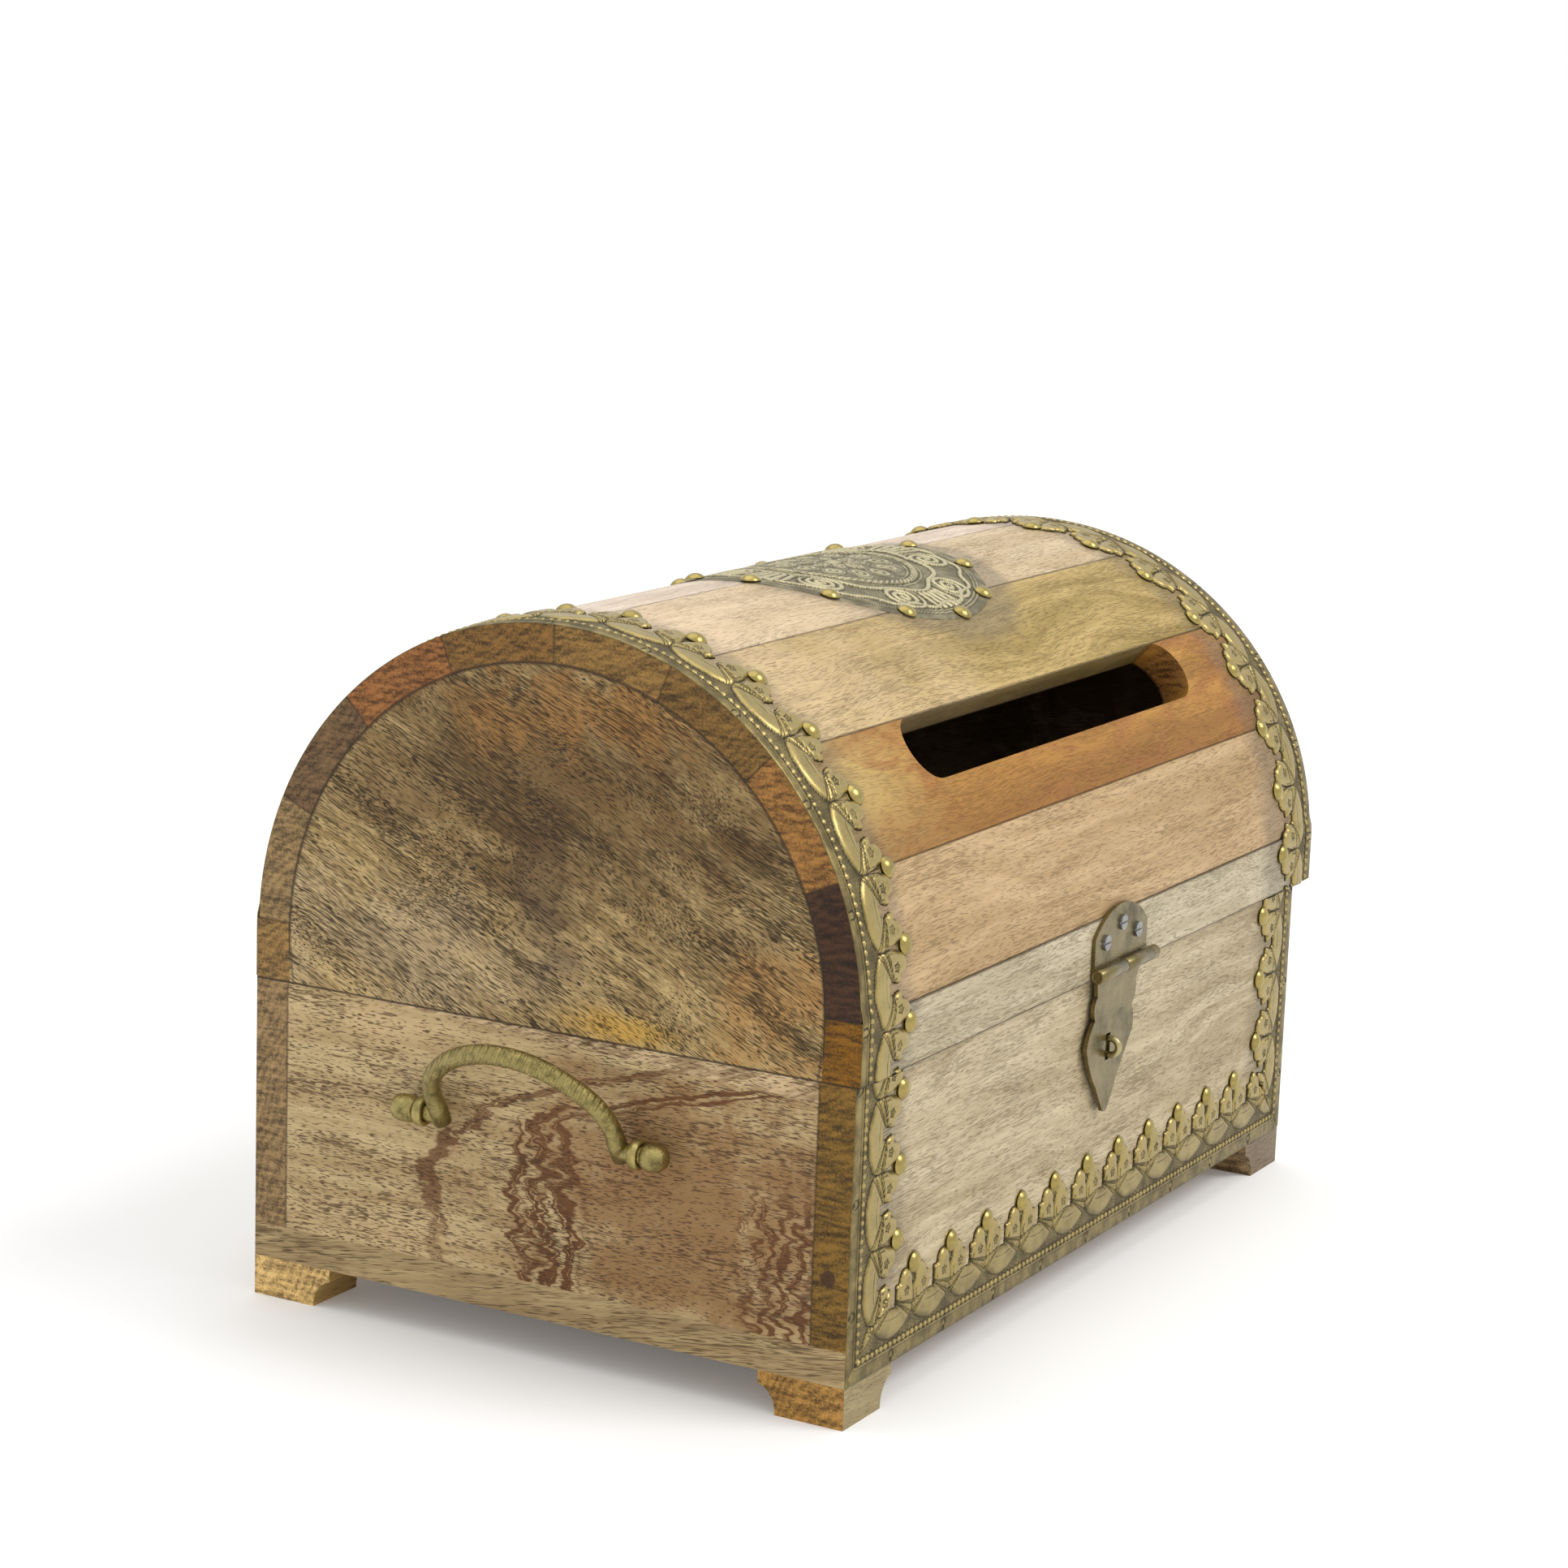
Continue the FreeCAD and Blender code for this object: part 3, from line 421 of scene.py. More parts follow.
def worn_brass_with_painted_light(name, raised, recess, rough=0.36):
    """Embossed sheet brass: brown where it is sunk, lighter where it is worn, with painted highlights
    on the highest points and painted reflections over the raised parts.
    """
    finish = Finish(name)
    point = finish.place()
    cloud = finish.noise(point, 0.12, 4.0, 0.6)
    speck = finish.noise(point, 0.9, 3.0, 0.7)
    height = finish.attribute("relief")
    share = (height + (speck - 0.5) * 0.4 + (cloud - 0.5) * 0.4).rise(-0.1, 0.75)
    # Painted reflections: a large cloud swings the raised colour between darker and lighter, standing
    # in for a studio's dark and bright sides seen in the metal.
    bright = finish.mix(cloud.rise(0.36, 0.64), shaded(raised, 0.58), shaded(raised, 1.1))
    colour = finish.mix(share, recess, bright)
    # Painted highlight, with wear: the highest points get a lighter colour still.
    worn_and_highlit = (height + (speck - 0.5) * 0.3).rise(0.8, 1.15)
    colour = finish.mix(worn_and_highlit, colour, shaded(raised, 1.3))
    finish.set(Base_Color=colour, Metallic=share * 0.55 + 0.4,
               Roughness=(1.0 - share) * 0.3 + rough + (speck - 0.5) * 0.15)
    finish.bump(speck + cloud, 0.0002, 0.5)
    return finish.material


def plain_brass(name, colour, rough=0.3, marks=0.15, dirt=0.35, metallic=0.9, grain=0.15,
                grooves=None):
    """Rubbed brass or steel with small dents, scratches and dull patches."""
    finish = Finish(name)
    point = finish.place()
    cloud = finish.noise(point, grain, 5.0, 0.65)
    speck = finish.noise(point, 1.4, 3.0, 0.7)
    scratch = finish.noise(finish.place(turn=(0.4, 0.3, 0.2), stretch=(0.06, 2.2, 2.2)), 1.0, 2.0)
    dull = cloud.rise(0.42, 0.72) * dirt + scratch.rise(0.6, 0.75) * dirt * 0.4
    base = finish.mix(dull, colour, shaded(colour, 0.3))
    base = finish.mix(cloud.rise(0.45, 0.25) * 0.5, base, shaded(colour, 1.6))
    finish.set(Base_Color=base, Metallic=metallic,
               Roughness=rough + (speck - 0.5) * marks + dull * 0.25)
    height = speck * 0.4 + cloud + scratch * 0.2
    if grooves is not None:
        height = height + grooves(finish, cloud) * 0.8
    finish.bump(height, 0.0004, marks * 2.5)
    return finish.material


def file_marks(finish, cloud):
    """Slanting grooves left on the crown of a cast handle, fading out in patches."""
    x, y, z = finish.xyz()
    line = (y * 2.3 + z * 1.1 + abs(x) * 0.9 + cloud * 3.0).sine()
    return line.rise(-1.0, 0.2) * z.rise(96.0, 108.0) * cloud.rise(0.3, 0.5)


# Mesh building

def paint(node, material):
    """Gives a node of the frame its material."""
    node.data.materials.clear()
    node.data.materials.append(material)


def stored(name, bm):
    """Writes a bmesh into a new mesh and frees it."""
    mesh = bpy.data.meshes.new(name)
    bm.to_mesh(mesh)
    bm.free()
    return mesh


def finish_piece(name, mesh, body, replaced, material):
    piece = bpy.data.objects.new(name, mesh)
    bpy.context.scene.collection.objects.link(piece)
    for polygon in mesh.polygons:
        polygon.use_smooth = True
    mesh.materials.append(material)
    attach(piece, body)
    if replaced:
        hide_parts(*replaced)
    return piece


def new_piece(name, bm, body, replaced, material):
    """A piece straight from a bmesh."""
    return finish_piece(name, stored(name, bm), body, replaced, material)


def turned_mesh(profile, steps):
    """A mesh turned about Z from radii and heights, in millimetres."""
    bm = bmesh.new()
    verts = [bm.verts.new((radius, 0, height)) for radius, height in profile]
    edges = [bm.edges.new(pair) for pair in zip(verts, verts[1:])]
    bmesh.ops.spin(bm, geom=verts + edges, cent=(0, 0, 0), axis=(0, 0, 1), angle=math.tau,
                   steps=steps, use_merge=True)
    bmesh.ops.remove_doubles(bm, verts=bm.verts, dist=0.001)
    bmesh.ops.recalc_face_normals(bm, faces=bm.faces)
    return stored("turned", bm)


def add_copy(bm, mesh, matrix):
    """Adds a template's mesh at a place given in millimetres."""
    before = len(bm.verts)
    bm.from_mesh(mesh)
    bm.verts.ensure_lookup_table()
    bmesh.ops.transform(bm, matrix=Matrix.Scale(MM, 4) @ matrix, verts=bm.verts[before:])


def at(place, normal):
    """A turn of the Z axis onto a direction, at a place."""
    return Matrix.Translation(place) @ Vector(normal).to_track_quat("Z", "Y").to_matrix().to_4x4()


def swept(stations, ring):
    """A closed bar: a ring of points carried along (place, heading, side, width, thickness)."""
    bm = bmesh.new()
    made = bmesh.ops.create_circle(bm, cap_ends=False, segments=ring, radius=1.0)
    base = [vert.co.copy() for vert in made["verts"]]
    loop = made["verts"]
    edges = list(bm.edges)
    first = list(loop)
    for count, (place, heading, side, wide, thick) in enumerate(stations):
        if count:
            out = bmesh.ops.extrude_edge_only(bm, edges=edges)["geom"]
            loop = [item for item in out if isinstance(item, bmesh.types.BMVert)]
            edges = [item for item in out if isinstance(item, bmesh.types.BMEdge)
                     and item.verts[0] in loop and item.verts[1] in loop]
        up = heading.cross(side)
        for vert, point in zip(loop, base):
            vert.co = place + side * (point.x * wide) + up * (point.y * thick)
    bmesh.ops.contextual_create(bm, geom=first)
    bmesh.ops.contextual_create(bm, geom=loop)
    bmesh.ops.recalc_face_normals(bm, faces=bm.faces)
    return bm


# Embossed sheet

def smooth_rise(low, high, value):
    """A smooth step from zero at low to one at high."""
    share = np.clip((value - low) / (high - low), 0.0, 1.0)
    return share * share * (3.0 - 2.0 * share)


def pillow(depth, reach):
    """A rounded rise from an outline: zero at its edge and one where it is reach deep."""
    share = np.clip(depth / reach, 0.0, 1.0)
    return np.sqrt(share * (2.0 - share))


def ridge(distance, half):
    """A line with soft sides, one in its middle."""
    return np.exp(-(distance / half) ** 2)


def from_nearest(value, pitch):
    """Distance to the nearest multiple of a pitch."""
    return np.abs(value / pitch - np.round(value / pitch)) * pitch


def cone_bar(x, y, first, second, first_radius, second_radius):
    """Signed distance to a bar with round ends of two radii."""
    run_x, run_y = second[0] - first[0], second[1] - first[1]
    share = ((x - first[0]) * run_x + (y - first[1]) * run_y) / (run_x ** 2 + run_y ** 2)
    share = np.clip(share, 0.0, 1.0)
    gap = np.hypot(x - first[0] - share * run_x, y - first[1] - share * run_y)
    return gap - (first_radius + share * (second_radius - first_radius))


def melted(first, second, reach):
    """The union of two signed distances with a rounded inner corner."""
    share = np.clip(0.5 + 0.5 * (second - first) / reach, 0.0, 1.0)
    return second * (1 - share) + first * share - reach * share * (1 - share)


class BorderMotif:
    """The scalloped border: two shoulder-shaped leaves at each nail, joined by a crescent."""

    bead_pitch = 3.3
    bead_radius = 1.15
    ground_reach = 14.5
    notch_centre = 22.4
    crescent_radius = 7.7
    crescent_half = 5.3
    hole_radius = 2.2
    crescent_spread = 2.6
    leaf_heart = (21.8, 6.3)
    leaf_radius = 6.1
    shoulder_root = (22.0, 6.0)
    shoulder_root_radius = 5.4
    shoulder_tip = (28.4, 5.6)
    shoulder_tip_radius = 3.9
    beak_root = (23.2, 8.0)
    beak_root_radius = 4.2
    beak_tip = (26.6, 11.4)
    beak_tip_radius = 1.1
    collar_grooves = (0.98, 1.07, 1.27, 1.36)
    collar_middle = 1.17
    stud_pitch = 1.3
    stamp_centre = (24.2, 6.4)
    nail_line = 33.0
    tab_radius = 4.3
    stalk_half = 2.9
    pin_pitch = 40.0
    rim_inset = 1.3
    joint_span = (14.0, 29.0)
    dimple_pitch = 1.5
    groove_depth = 0.4

    def __init__(self, first_nail, pitch, border, crescent_lift=0.8):
        self.first_nail = first_nail
        self.crescent_lift = crescent_lift
        self.pitch = pitch
        self.border = border
        self.bead_line = border + 1.9

    def fold(self, run):
        """Distances along the strip to the nearest nail and to the nearest notch."""
        from_nail = from_nearest(run - self.first_nail, self.pitch)
        return from_nail, self.pitch / 2 - from_nail

    def leaf(self, inset, from_nail):
        heart = np.hypot(inset - self.leaf_heart[0], from_nail - self.leaf_heart[1]) - self.leaf_radius
        shoulder = cone_bar(inset, from_nail, self.shoulder_root, self.shoulder_tip,
                            self.shoulder_root_radius, self.shoulder_tip_radius)
        beak = cone_bar(inset, from_nail, self.beak_root, self.beak_tip, self.beak_root_radius,
                        self.beak_tip_radius)
        return melted(melted(heart, shoulder, 1.6), beak, 1.0)

    def around_notch(self, inset, from_notch):
        """Angle round the notch, distance from it, and how far off the crescent's middle line."""
        gap = np.hypot(inset - self.notch_centre, from_notch)
        turn = np.arctan2(from_notch, self.notch_centre - inset)
        return turn, gap, gap - self.crescent_radius - self.crescent_spread * turn ** 2

    def crescent(self, inset, from_notch):
        turn, gap, off_middle = self.around_notch(inset, from_notch)
        half = self.crescent_half * np.clip(1.0 - 0.08 * turn ** 2, 0.4, 1.0)
        return np.maximum(np.abs(off_middle) - half, (turn - 1.5) * self.crescent_radius)

    def leafage(self, inset, from_nail, from_notch):
        """The outline of the raised leaves, with the round hole in the notch."""
        shape = melted(self.crescent(inset, from_notch), self.leaf(inset, from_nail), 0.8)
        hole = self.hole_radius - np.hypot(inset - self.notch_centre, from_notch)
        return np.maximum(shape, hole)

    def outline(self, inset, run):
        from_nail, from_notch = self.fold(run)
        stalk = np.maximum(from_nail - self.stalk_half, inset - self.nail_line)
        tab = np.hypot(inset - self.nail_line, from_nail) - self.tab_radius
        shape = np.minimum(inset - self.ground_reach, np.minimum(stalk, tab))
        return np.minimum(shape, self.leafage(inset, from_nail, from_notch))

    def field(self, inset, run):
        """The sheet's flat parts: its plain edge, the bead row and the small pins."""
        height = np.full_like(inset, 0.3)
        wear_and_painted_light = np.where(inset < self.border, 0.45, 0.3)
        line = ridge(inset - self.border, 0.35)
        height += 0.35 * line
        wear_and_painted_light = np.maximum(wear_and_painted_light, 0.7 * line)
        bead = np.hypot(inset - self.bead_line, from_nearest(run, self.bead_pitch))
        bead = pillow(self.bead_radius - bead, self.bead_radius)
        rope = pillow(0.55 - np.abs(inset - self.bead_line), 0.5) * 0.35
        height += np.maximum(bead * 0.9, rope)
        wear_and_painted_light = np.maximum(wear_and_painted_light, bead * 1.1)
        pin = np.hypot(inset - 0.58 * self.border, from_nearest(run, self.pin_pitch))
        pin_line = ridge(pin - 1.6, 0.34)
        height -= 0.3 * pin_line
        wear_and_painted_light += 0.35 * smooth_rise(1.5, 1.1, pin) - 0.8 * pin_line
        return height, wear_and_painted_light

    def stamp(self, inset, from_nail):
        """A small five-petalled flower punched into each leaf."""
        right, up = inset - self.stamp_centre[0], from_nail - self.stamp_centre[1]
        spot = np.hypot(right, up)
        petals = ridge(spot - 1.35 - 0.4 * np.cos(5 * np.arctan2(up, right)), 0.3)
        return np.maximum(petals, ridge(spot, 0.4))

    def cuts(self, inset, from_nail, from_notch):
        """The sunk lines: a stamp in each leaf, collars at its root and a crease in the crescent."""
        turn, gap, off_middle = self.around_notch(inset, from_notch)
        lines = self.stamp(inset, from_nail)
        for place in self.collar_grooves:
            lines = np.maximum(lines, ridge((turn - place) * gap, 0.26))
        return np.maximum(lines, 0.4 * ridge(off_middle + 1.6, 0.35) * smooth_rise(0.95, 0.7, turn))

    def relief(self, inset, run, emboss):
        from_nail, from_notch = self.fold(run)
        height, wear_and_painted_light = self.field(inset, run)
        turn, gap, off_middle = self.around_notch(inset, from_notch)
        depth = -self.leafage(inset, from_nail, from_notch)
        leaf_share = smooth_rise(-0.4, 0.4, (turn - self.collar_middle - 0.12) * gap)
        lift = self.crescent_lift + (1 - self.crescent_lift) * leaf_share
        body = pillow(depth, 2.8) * lift
        height += emboss * body
        wear_and_painted_light = np.maximum(wear_and_painted_light, smooth_rise(0.05, 0.75, body / np.sqrt(lift)))
        inside = smooth_rise(0.0, 0.5, depth)
        rim = 0.6 * ridge(depth - self.rim_inset, 0.26) * leaf_share * smooth_rise(24.5, 23.0, inset)
        cuts = np.maximum(self.cuts(inset, from_nail, from_notch), rim) * inside
        height -= self.groove_depth * cuts
        wear_and_painted_light -= 0.85 * cuts
        stud = np.hypot((turn - self.collar_middle) * gap, from_nearest(gap, self.stud_pitch))
        height += 0.3 * inside * pillow(0.58 - stud, 0.5)
        start, end = self.joint_span
        joint = ridge(from_nail, 0.5) * smooth_rise(start, start + 1.5, inset)
        joint = joint * smooth_rise(end, end - 1.5, inset)
        height -= 0.9 * joint
        wear_and_painted_light -= 0.8 * joint
        tab = self.tab_radius + 0.4 - np.hypot(inset - self.nail_line, from_nail)
        wear_and_painted_light = np.maximum(wear_and_painted_light, 0.55 * smooth_rise(0.0, 0.6, tab))
        pitch = self.dimple_pitch
        dimple = np.hypot(np.mod(inset * 1.1 + run * 0.4, pitch) - pitch / 2,
                          np.mod(run * 1.1, pitch) - pitch / 2)
        sunk = smooth_rise(0.35, 0.1, body) * smooth_rise(7.6, 8.4, inset)
        height += 0.12 * sunk * ridge(dimple, 0.35)
        return height, wear_and_painted_light


def sheet_grid(width, low, high, cell, plain):
    """A flat grid of (inset, run), coarse over the plain edge and fine over the embossing."""
    columns = max(2, round((width - plain) / cell))
    coarse = max(1, round(plain / (3 * cell)))
    rows = round((high - low) / cell)
    bm = bmesh.new()
    bmesh.ops.create_grid(bm, x_segments=columns + coarse, y_segments=rows, size=0.5)
    mesh = stored("sheet", bm)
    flat = read_points(mesh)
    step = (flat[:, 0] + 0.5) * (columns + coarse)
    inset = np.where(step < coarse, step / coarse * plain,
                     plain + (step - coarse) * (width - plain) / columns)
    run = low + (flat[:, 1] + 0.5) * (high - low)
    write_points(mesh, np.column_stack([inset, run, np.zeros_like(run)]))
    return mesh


def read_points(mesh):
    """The mesh's points as rows of an array."""
    points = np.empty(len(mesh.vertices) * 3, np.float32)
    mesh.vertices.foreach_get("co", points)
    return points.reshape(-1, 3).astype(float)


def write_points(mesh, points):
    """Moves the mesh's points to the rows of an array."""
    mesh.vertices.foreach_set("co", points.astype(np.float32).ravel())
    mesh.update()


def cut_outline(mesh, outline, cell):
    """Removes the faces outside an outline and draws the ragged edge onto it."""
    points = read_points(mesh)
    outside = outline(points[:, 0], points[:, 1])
    bm = bmesh.new()
    bm.from_mesh(mesh)
    far = [face for face in bm.faces
           if sum(outside[vert.index] for vert in face.verts) > 0.0]
    bmesh.ops.delete(bm, geom=far, context="FACES")
    edge_verts = {vert for edge in bm.edges if edge.is_boundary for vert in edge.verts}
    bm.verts.index_update()
    edge_index = np.array(sorted(vert.index for vert in edge_verts))
    bm.to_mesh(mesh)
    bm.free()
    points = read_points(mesh)
    for _ in range(3):
        x, y = points[edge_index, 0], points[edge_index, 1]
        gap = outline(x, y)
        small = 0.01
        slope_x = (outline(x + small, y) - outline(x - small, y)) / (2 * small)
        slope_y = (outline(x, y + small) - outline(x, y - small)) / (2 * small)
        size = np.maximum(slope_x ** 2 + slope_y ** 2, 0.2)
        near = np.abs(gap) < 1.2 * cell
        points[edge_index, 0] -= np.where(near, gap * slope_x / size, 0.0)
        points[edge_index, 1] -= np.where(near, gap * slope_y / size, 0.0)
    write_points(mesh, points)


def emboss_sheet(mesh, outline, relief, surface):
    """Raises the pattern, lays the sheet on its surface and stores how light each point is coloured:
    wear and patina, with painted shade in the creases and painted highlights on the ridges.
    """
    points = read_points(mesh)
    x, y = points[:, 0], points[:, 1]
    height, wear_and_painted_light = relief(x, y)
    # Painted shade and highlight: points below their neighbours are darkened, as patina in the creases
    # and as painted shade, and points above them are lightened, as painted highlights on the ridges.
    step = 0.45
    around = sum(relief(x + right * step, y + up * step)[0]
                 for right, up in ((1, 0), (-1, 0), (0, 1), (0, -1)))
    wear_and_painted_light = wear_and_painted_light - np.clip((around / 4 - height) * 5.0, -0.35, 0.75)
    height *= smooth_rise(0.0, -0.7, outline(x, y)) * 0.85 + 0.15
    write_points(mesh, surface(x, y, height) * MM)
    layer = mesh.attributes.new("relief", "FLOAT", "POINT")
    layer.data.foreach_set("value", np.clip(wear_and_painted_light, -0.3, 1.3).astype(np.float32))
    bm = bmesh.new()
    bm.from_mesh(mesh)
    bmesh.ops.recalc_face_normals(bm, faces=bm.faces)
    bm.to_mesh(mesh)
    bm.free()


def add_thickness(piece):
    """Gives an embossed sheet its wall, on the side away from its face."""
    wall = piece.modifiers.new("sheet wall", "SOLIDIFY")
    wall.thickness = SHEET_WALL * MM
    wall.offset = -1.0


# Where things lie on the chest

ARCH_PITCH_ANGLE = math.radians(12.34)
ARCH_FIRST_ANGLE = math.radians(-1.2)
ARCH_NAILS = 16
FLARE = node_box("right_arch_strip")[1].x - HALF_LENGTH
FLARE_END = math.radians(84.0)
NAIL_INSET = 33.0
SIDE_PITCH = 27.0
SIDE_FIRST = 7.5
SIDE_NAILS = 3
FRONT_PITCH = 28.5
FRONT_NAILS = 11
FRONT_SHIFT = -3.5
STRIP_WIDTH = 38.0
STRIP_GAP = 0.5
MITRE = 0.707
SHEET_WALL = 0.25
PLAQUE_CELL = 1.2


def flare_at(angle):
    """How far the right arch strip stands out past the end, largest at the front seam."""
    return FLARE * np.clip(1.0 - angle / FLARE_END, 0.0, 1.0)


def arch_surface(side):
    """Places (inset, run along the arch, height) on the rim staves and the dome."""
    rim_radius = DOME_CENTRE.y - RIM_FACE

    def surface(inset, run, height):
        angle = run / DOME_RADIUS
        x = side * (HALF_LENGTH + (flare_at(angle) if side > 0 else 0.0) - inset)
        fold = np.where(angle > math.pi / 2, math.pi - angle, angle)
        back = np.where(angle > math.pi / 2, 1.0, -1.0)
        proud = (rim_radius - DOME_RADIUS) * (1 - smooth_rise(RIM_ANGLE, RIM_ANGLE + 0.05, fold))
        radius = DOME_RADIUS + proud + height
        turn = np.maximum(fold, 0.0)
        y = DOME_CENTRE.y + back * radius * np.cos(turn)
        z = DOME_CENTRE.z + radius * np.sin(turn) + np.minimum(fold, 0.0) * DOME_RADIUS
        return np.column_stack([x, y, z])

    return surface


def side_surface(side):
    """Places (inset, height above the floor, relief) on the front, along its left or right edge."""
    def surface(inset, run, height):
        return np.column_stack([side * (HALF_LENGTH - inset), FRONT_FACE - height, run])

    return surface


def front_surface(inset, run, height):
    """Places (inset, run along the front, relief) on the front, along its lower edge."""
    return np.column_stack([run, FRONT_FACE - height, FLOOR_EDGE + inset])


def dome_place(angle, x, lift):
    """A place on the rim staves or the dome, and the direction outwards there."""
    if angle < RIM_ANGLE:
        return Vector((x, RIM_FACE - lift, DOME_CENTRE.z + angle * DOME_RADIUS)), Vector((0, -1, 0))
    if angle > math.pi - RIM_ANGLE:
        back = 2 * DOME_CENTRE.y - RIM_FACE + lift
        height = DOME_CENTRE.z - (angle - math.pi) * DOME_RADIUS
        return Vector((x, back, height)), Vector((0, 1, 0))
    normal = Vector((0, -math.cos(angle), math.sin(angle)))
    return DOME_CENTRE + normal * (DOME_RADIUS + lift) + Vector((x, 0, 0)), normal


# Wood

# Colours of the figure in the left end board
FLUSH = (0.265, 0.135, 0.046)
FLAME = (0.14, 0.055, 0.014)
SAPWOOD = (0.66, 0.47, 0.24)
SPLIT_DARK = (0.28, 0.18, 0.09)
SPLIT_PALE = (0.68, 0.50, 0.28)
# Colours of the cloud in the lid's end boards
SMOKE = (0.13, 0.066, 0.018)
CROWN_SHADE = (0.135, 0.069, 0.018)
CLOUD_PALE = (0.64, 0.51, 0.34)
HEART = (0.07, 0.034, 0.014)
RESIN = (0.62, 0.36, 0.06)
EMBER = (0.42, 0.20, 0.05)
# Colours of the curls in the slot's stave, and the sheen on the staves beside it
CURL_YELLOW = (0.50, 0.36, 0.13)
CURL_BROWN = (0.2, 0.076, 0.008)
CURL_RED = (0.28, 0.10, 0.022)
SHEEN = (0.84, 0.63, 0.42)


def patch(finish, y_middle, z_middle, y_reach, z_reach, ragged=0.5):
    """A soft ragged oval on an end board."""
    x, y, z = finish.xyz()
    wide = (y - y_middle) / y_reach
    tall = (z - z_middle) / z_reach
    gap = (wide * wide + tall * tall) ** 0.5
    edge = finish.noise(finish.place(), 0.03, 5.0, 0.7, 0.4)
    return (gap + (edge - 0.5) * 4.0 * ragged).rise(1.15, 0.2)


def wavy_figure(finish, colour, point):
    """Red-brown zigzag bands that sweep in from the front and run down the end board."""
    x, y, z = finish.xyz()
    jag = finish.noise(finish.joined(z * 0.12, y * 0.04, 4.5), 1.0, 2.6, 0.62) - 0.5
    sway = finish.noise(finish.joined(z * 0.02, y * 0.015, 9.5), 1.0, 1.0) - 0.5
    rise = ((z - 80.0) / 36.0).larger(0.0)
    gap = y + rise * rise * 92.0 + jag * 30.0 + sway * 36.0 + 8.0
    fade = z.rise(14.0, 26.0) * z.rise(122.0, 112.0)
    fibres = finish.noise(finish.joined(gap * 0.7, z * 0.03, y * 0.01), 1.0, 2.0, 0.6).rise(0.3, 0.5)
    half = z.rise(96.0, 70.0) * 6.0 + 8.0
    broad = (half - abs(gap)).rise(-1.5, 1.5) * (gap * 0.7).sine().rise(-0.95, 0.1)
    left = ((z - 60.0) / 44.0).larger(0.0)
    thin = abs(y - 42.0 + left * left * 60.0 + jag * 24.0 + sway * 26.0).rise(4.4, 2.2)
    near = abs(y + 99.0 + jag * 30.0).rise(19.0, 13.0) * z.rise(92.0, 66.0)
    near = near * (y * 0.8 + jag * 30.0).sine().rise(-0.4, 0.5)
    bands = (broad.larger(thin * 0.85)).larger(near) * fade * fibres
    red = patch(finish, -52.0, 66.0, 84.0, 56.0, 0.8)
    colour = finish.mix(red * 0.85, colour, FLUSH)
    colour = finish.mix(bands, colour, FLAME)
    top = patch(finish, 60.0, 112.0, 60.0, 12.0).larger(patch(finish, 70.0, 36.0, 60.0, 14.0))
    colour = finish.mix(top * 0.5, colour, SAPWOOD)
    streak = finish.noise(finish.joined((y * 0.4 + z) * 0.5, (y - z * 2.5) * 0.04, 7.5), 1.0, 2.0, 0.6)
    wedge = (z + (y - END_BOARD_HALF) * -0.04 - SEAM - 1.0).rise(-0.6, 0.6)
    wedge = wedge * finish.facing(0).rise(0.5, 0.8)
    pale = finish.mix(streak.rise(0.36, 0.62), SPLIT_DARK, SPLIT_PALE)
    return finish.mix(wedge * 0.8, colour, pale)


def dark_cloud(finish, colour, point):
    """A dark heart in the middle of the lid's end board, with warm patches above."""
    along, across, deep = finish.parts(point)
    height = finish.xyz()[2]
    smoke = finish.noise(finish.joined(along * 0.016, across * 0.03, deep * 0.05), 1.0, 4.0, 0.6, 0.3)
    colour = finish.mix(smoke.rise(0.46, 0.7) * height.rise(132.0, 182.0) * 0.65, colour, SMOKE)
    colour = finish.mix(patch(finish, 0.0, 212.0, 122.0, 62.0) * 0.82, colour, CROWN_SHADE)
    pale = patch(finish, 72.0, 142.0, 84.0, 36.0, 0.8)
    colour = finish.mix(pale * 0.3, colour, CLOUD_PALE)
    colour = finish.mix(patch(finish, 0.0, 178.0, 22.0, 36.0, 0.7) * 0.6, colour, HEART)
    resin = patch(finish, -34.0, 127.0, 30.0, 8.0, 0.6)
    colour = finish.mix(resin * 0.75, colour, RESIN)
    warm = patch(finish, -92.0, 142.0, 26.0, 30.0, 0.9)
    warm = warm.larger(patch(finish, -22.0, 238.0, 62.0, 17.0, 1.3))
    return finish.mix(warm * 0.6, colour, EMBER)


def curl(finish, colour, point):
    """Soft red-brown curls, yellower at the left end."""
    x, y, z = finish.xyz()
    wave = finish.noise(finish.stretch(point, (0.03, 0.06, 0.06)), 1.0, 3.0, 0.6, 1.2)
    colour = finish.mix((x + wave * 60.0).rise(-50.0, -140.0) * 0.8, colour, CURL_YELLOW)
    low = (z - DOME_CENTRE.z + wave * 16.0).rise(82.0, 62.0)
    colour = finish.mix(low * 0.5, colour, CURL_BROWN)
    return finish.mix(wave.rise(0.42, 0.7) * 0.65, colour, CURL_RED)


def pale_left(finish, colour, point):
    """Paler towards the left end, with a bare pinkish sheen."""
    x, y, z = finish.xyz()
    cloud = finish.noise(finish.place(), 0.012, 3.0, 0.6)
    share = (x + (cloud - 0.5) * 260.0).rise(20.0, -150.0)
    return finish.mix(share * 0.42, colour, SHEEN)


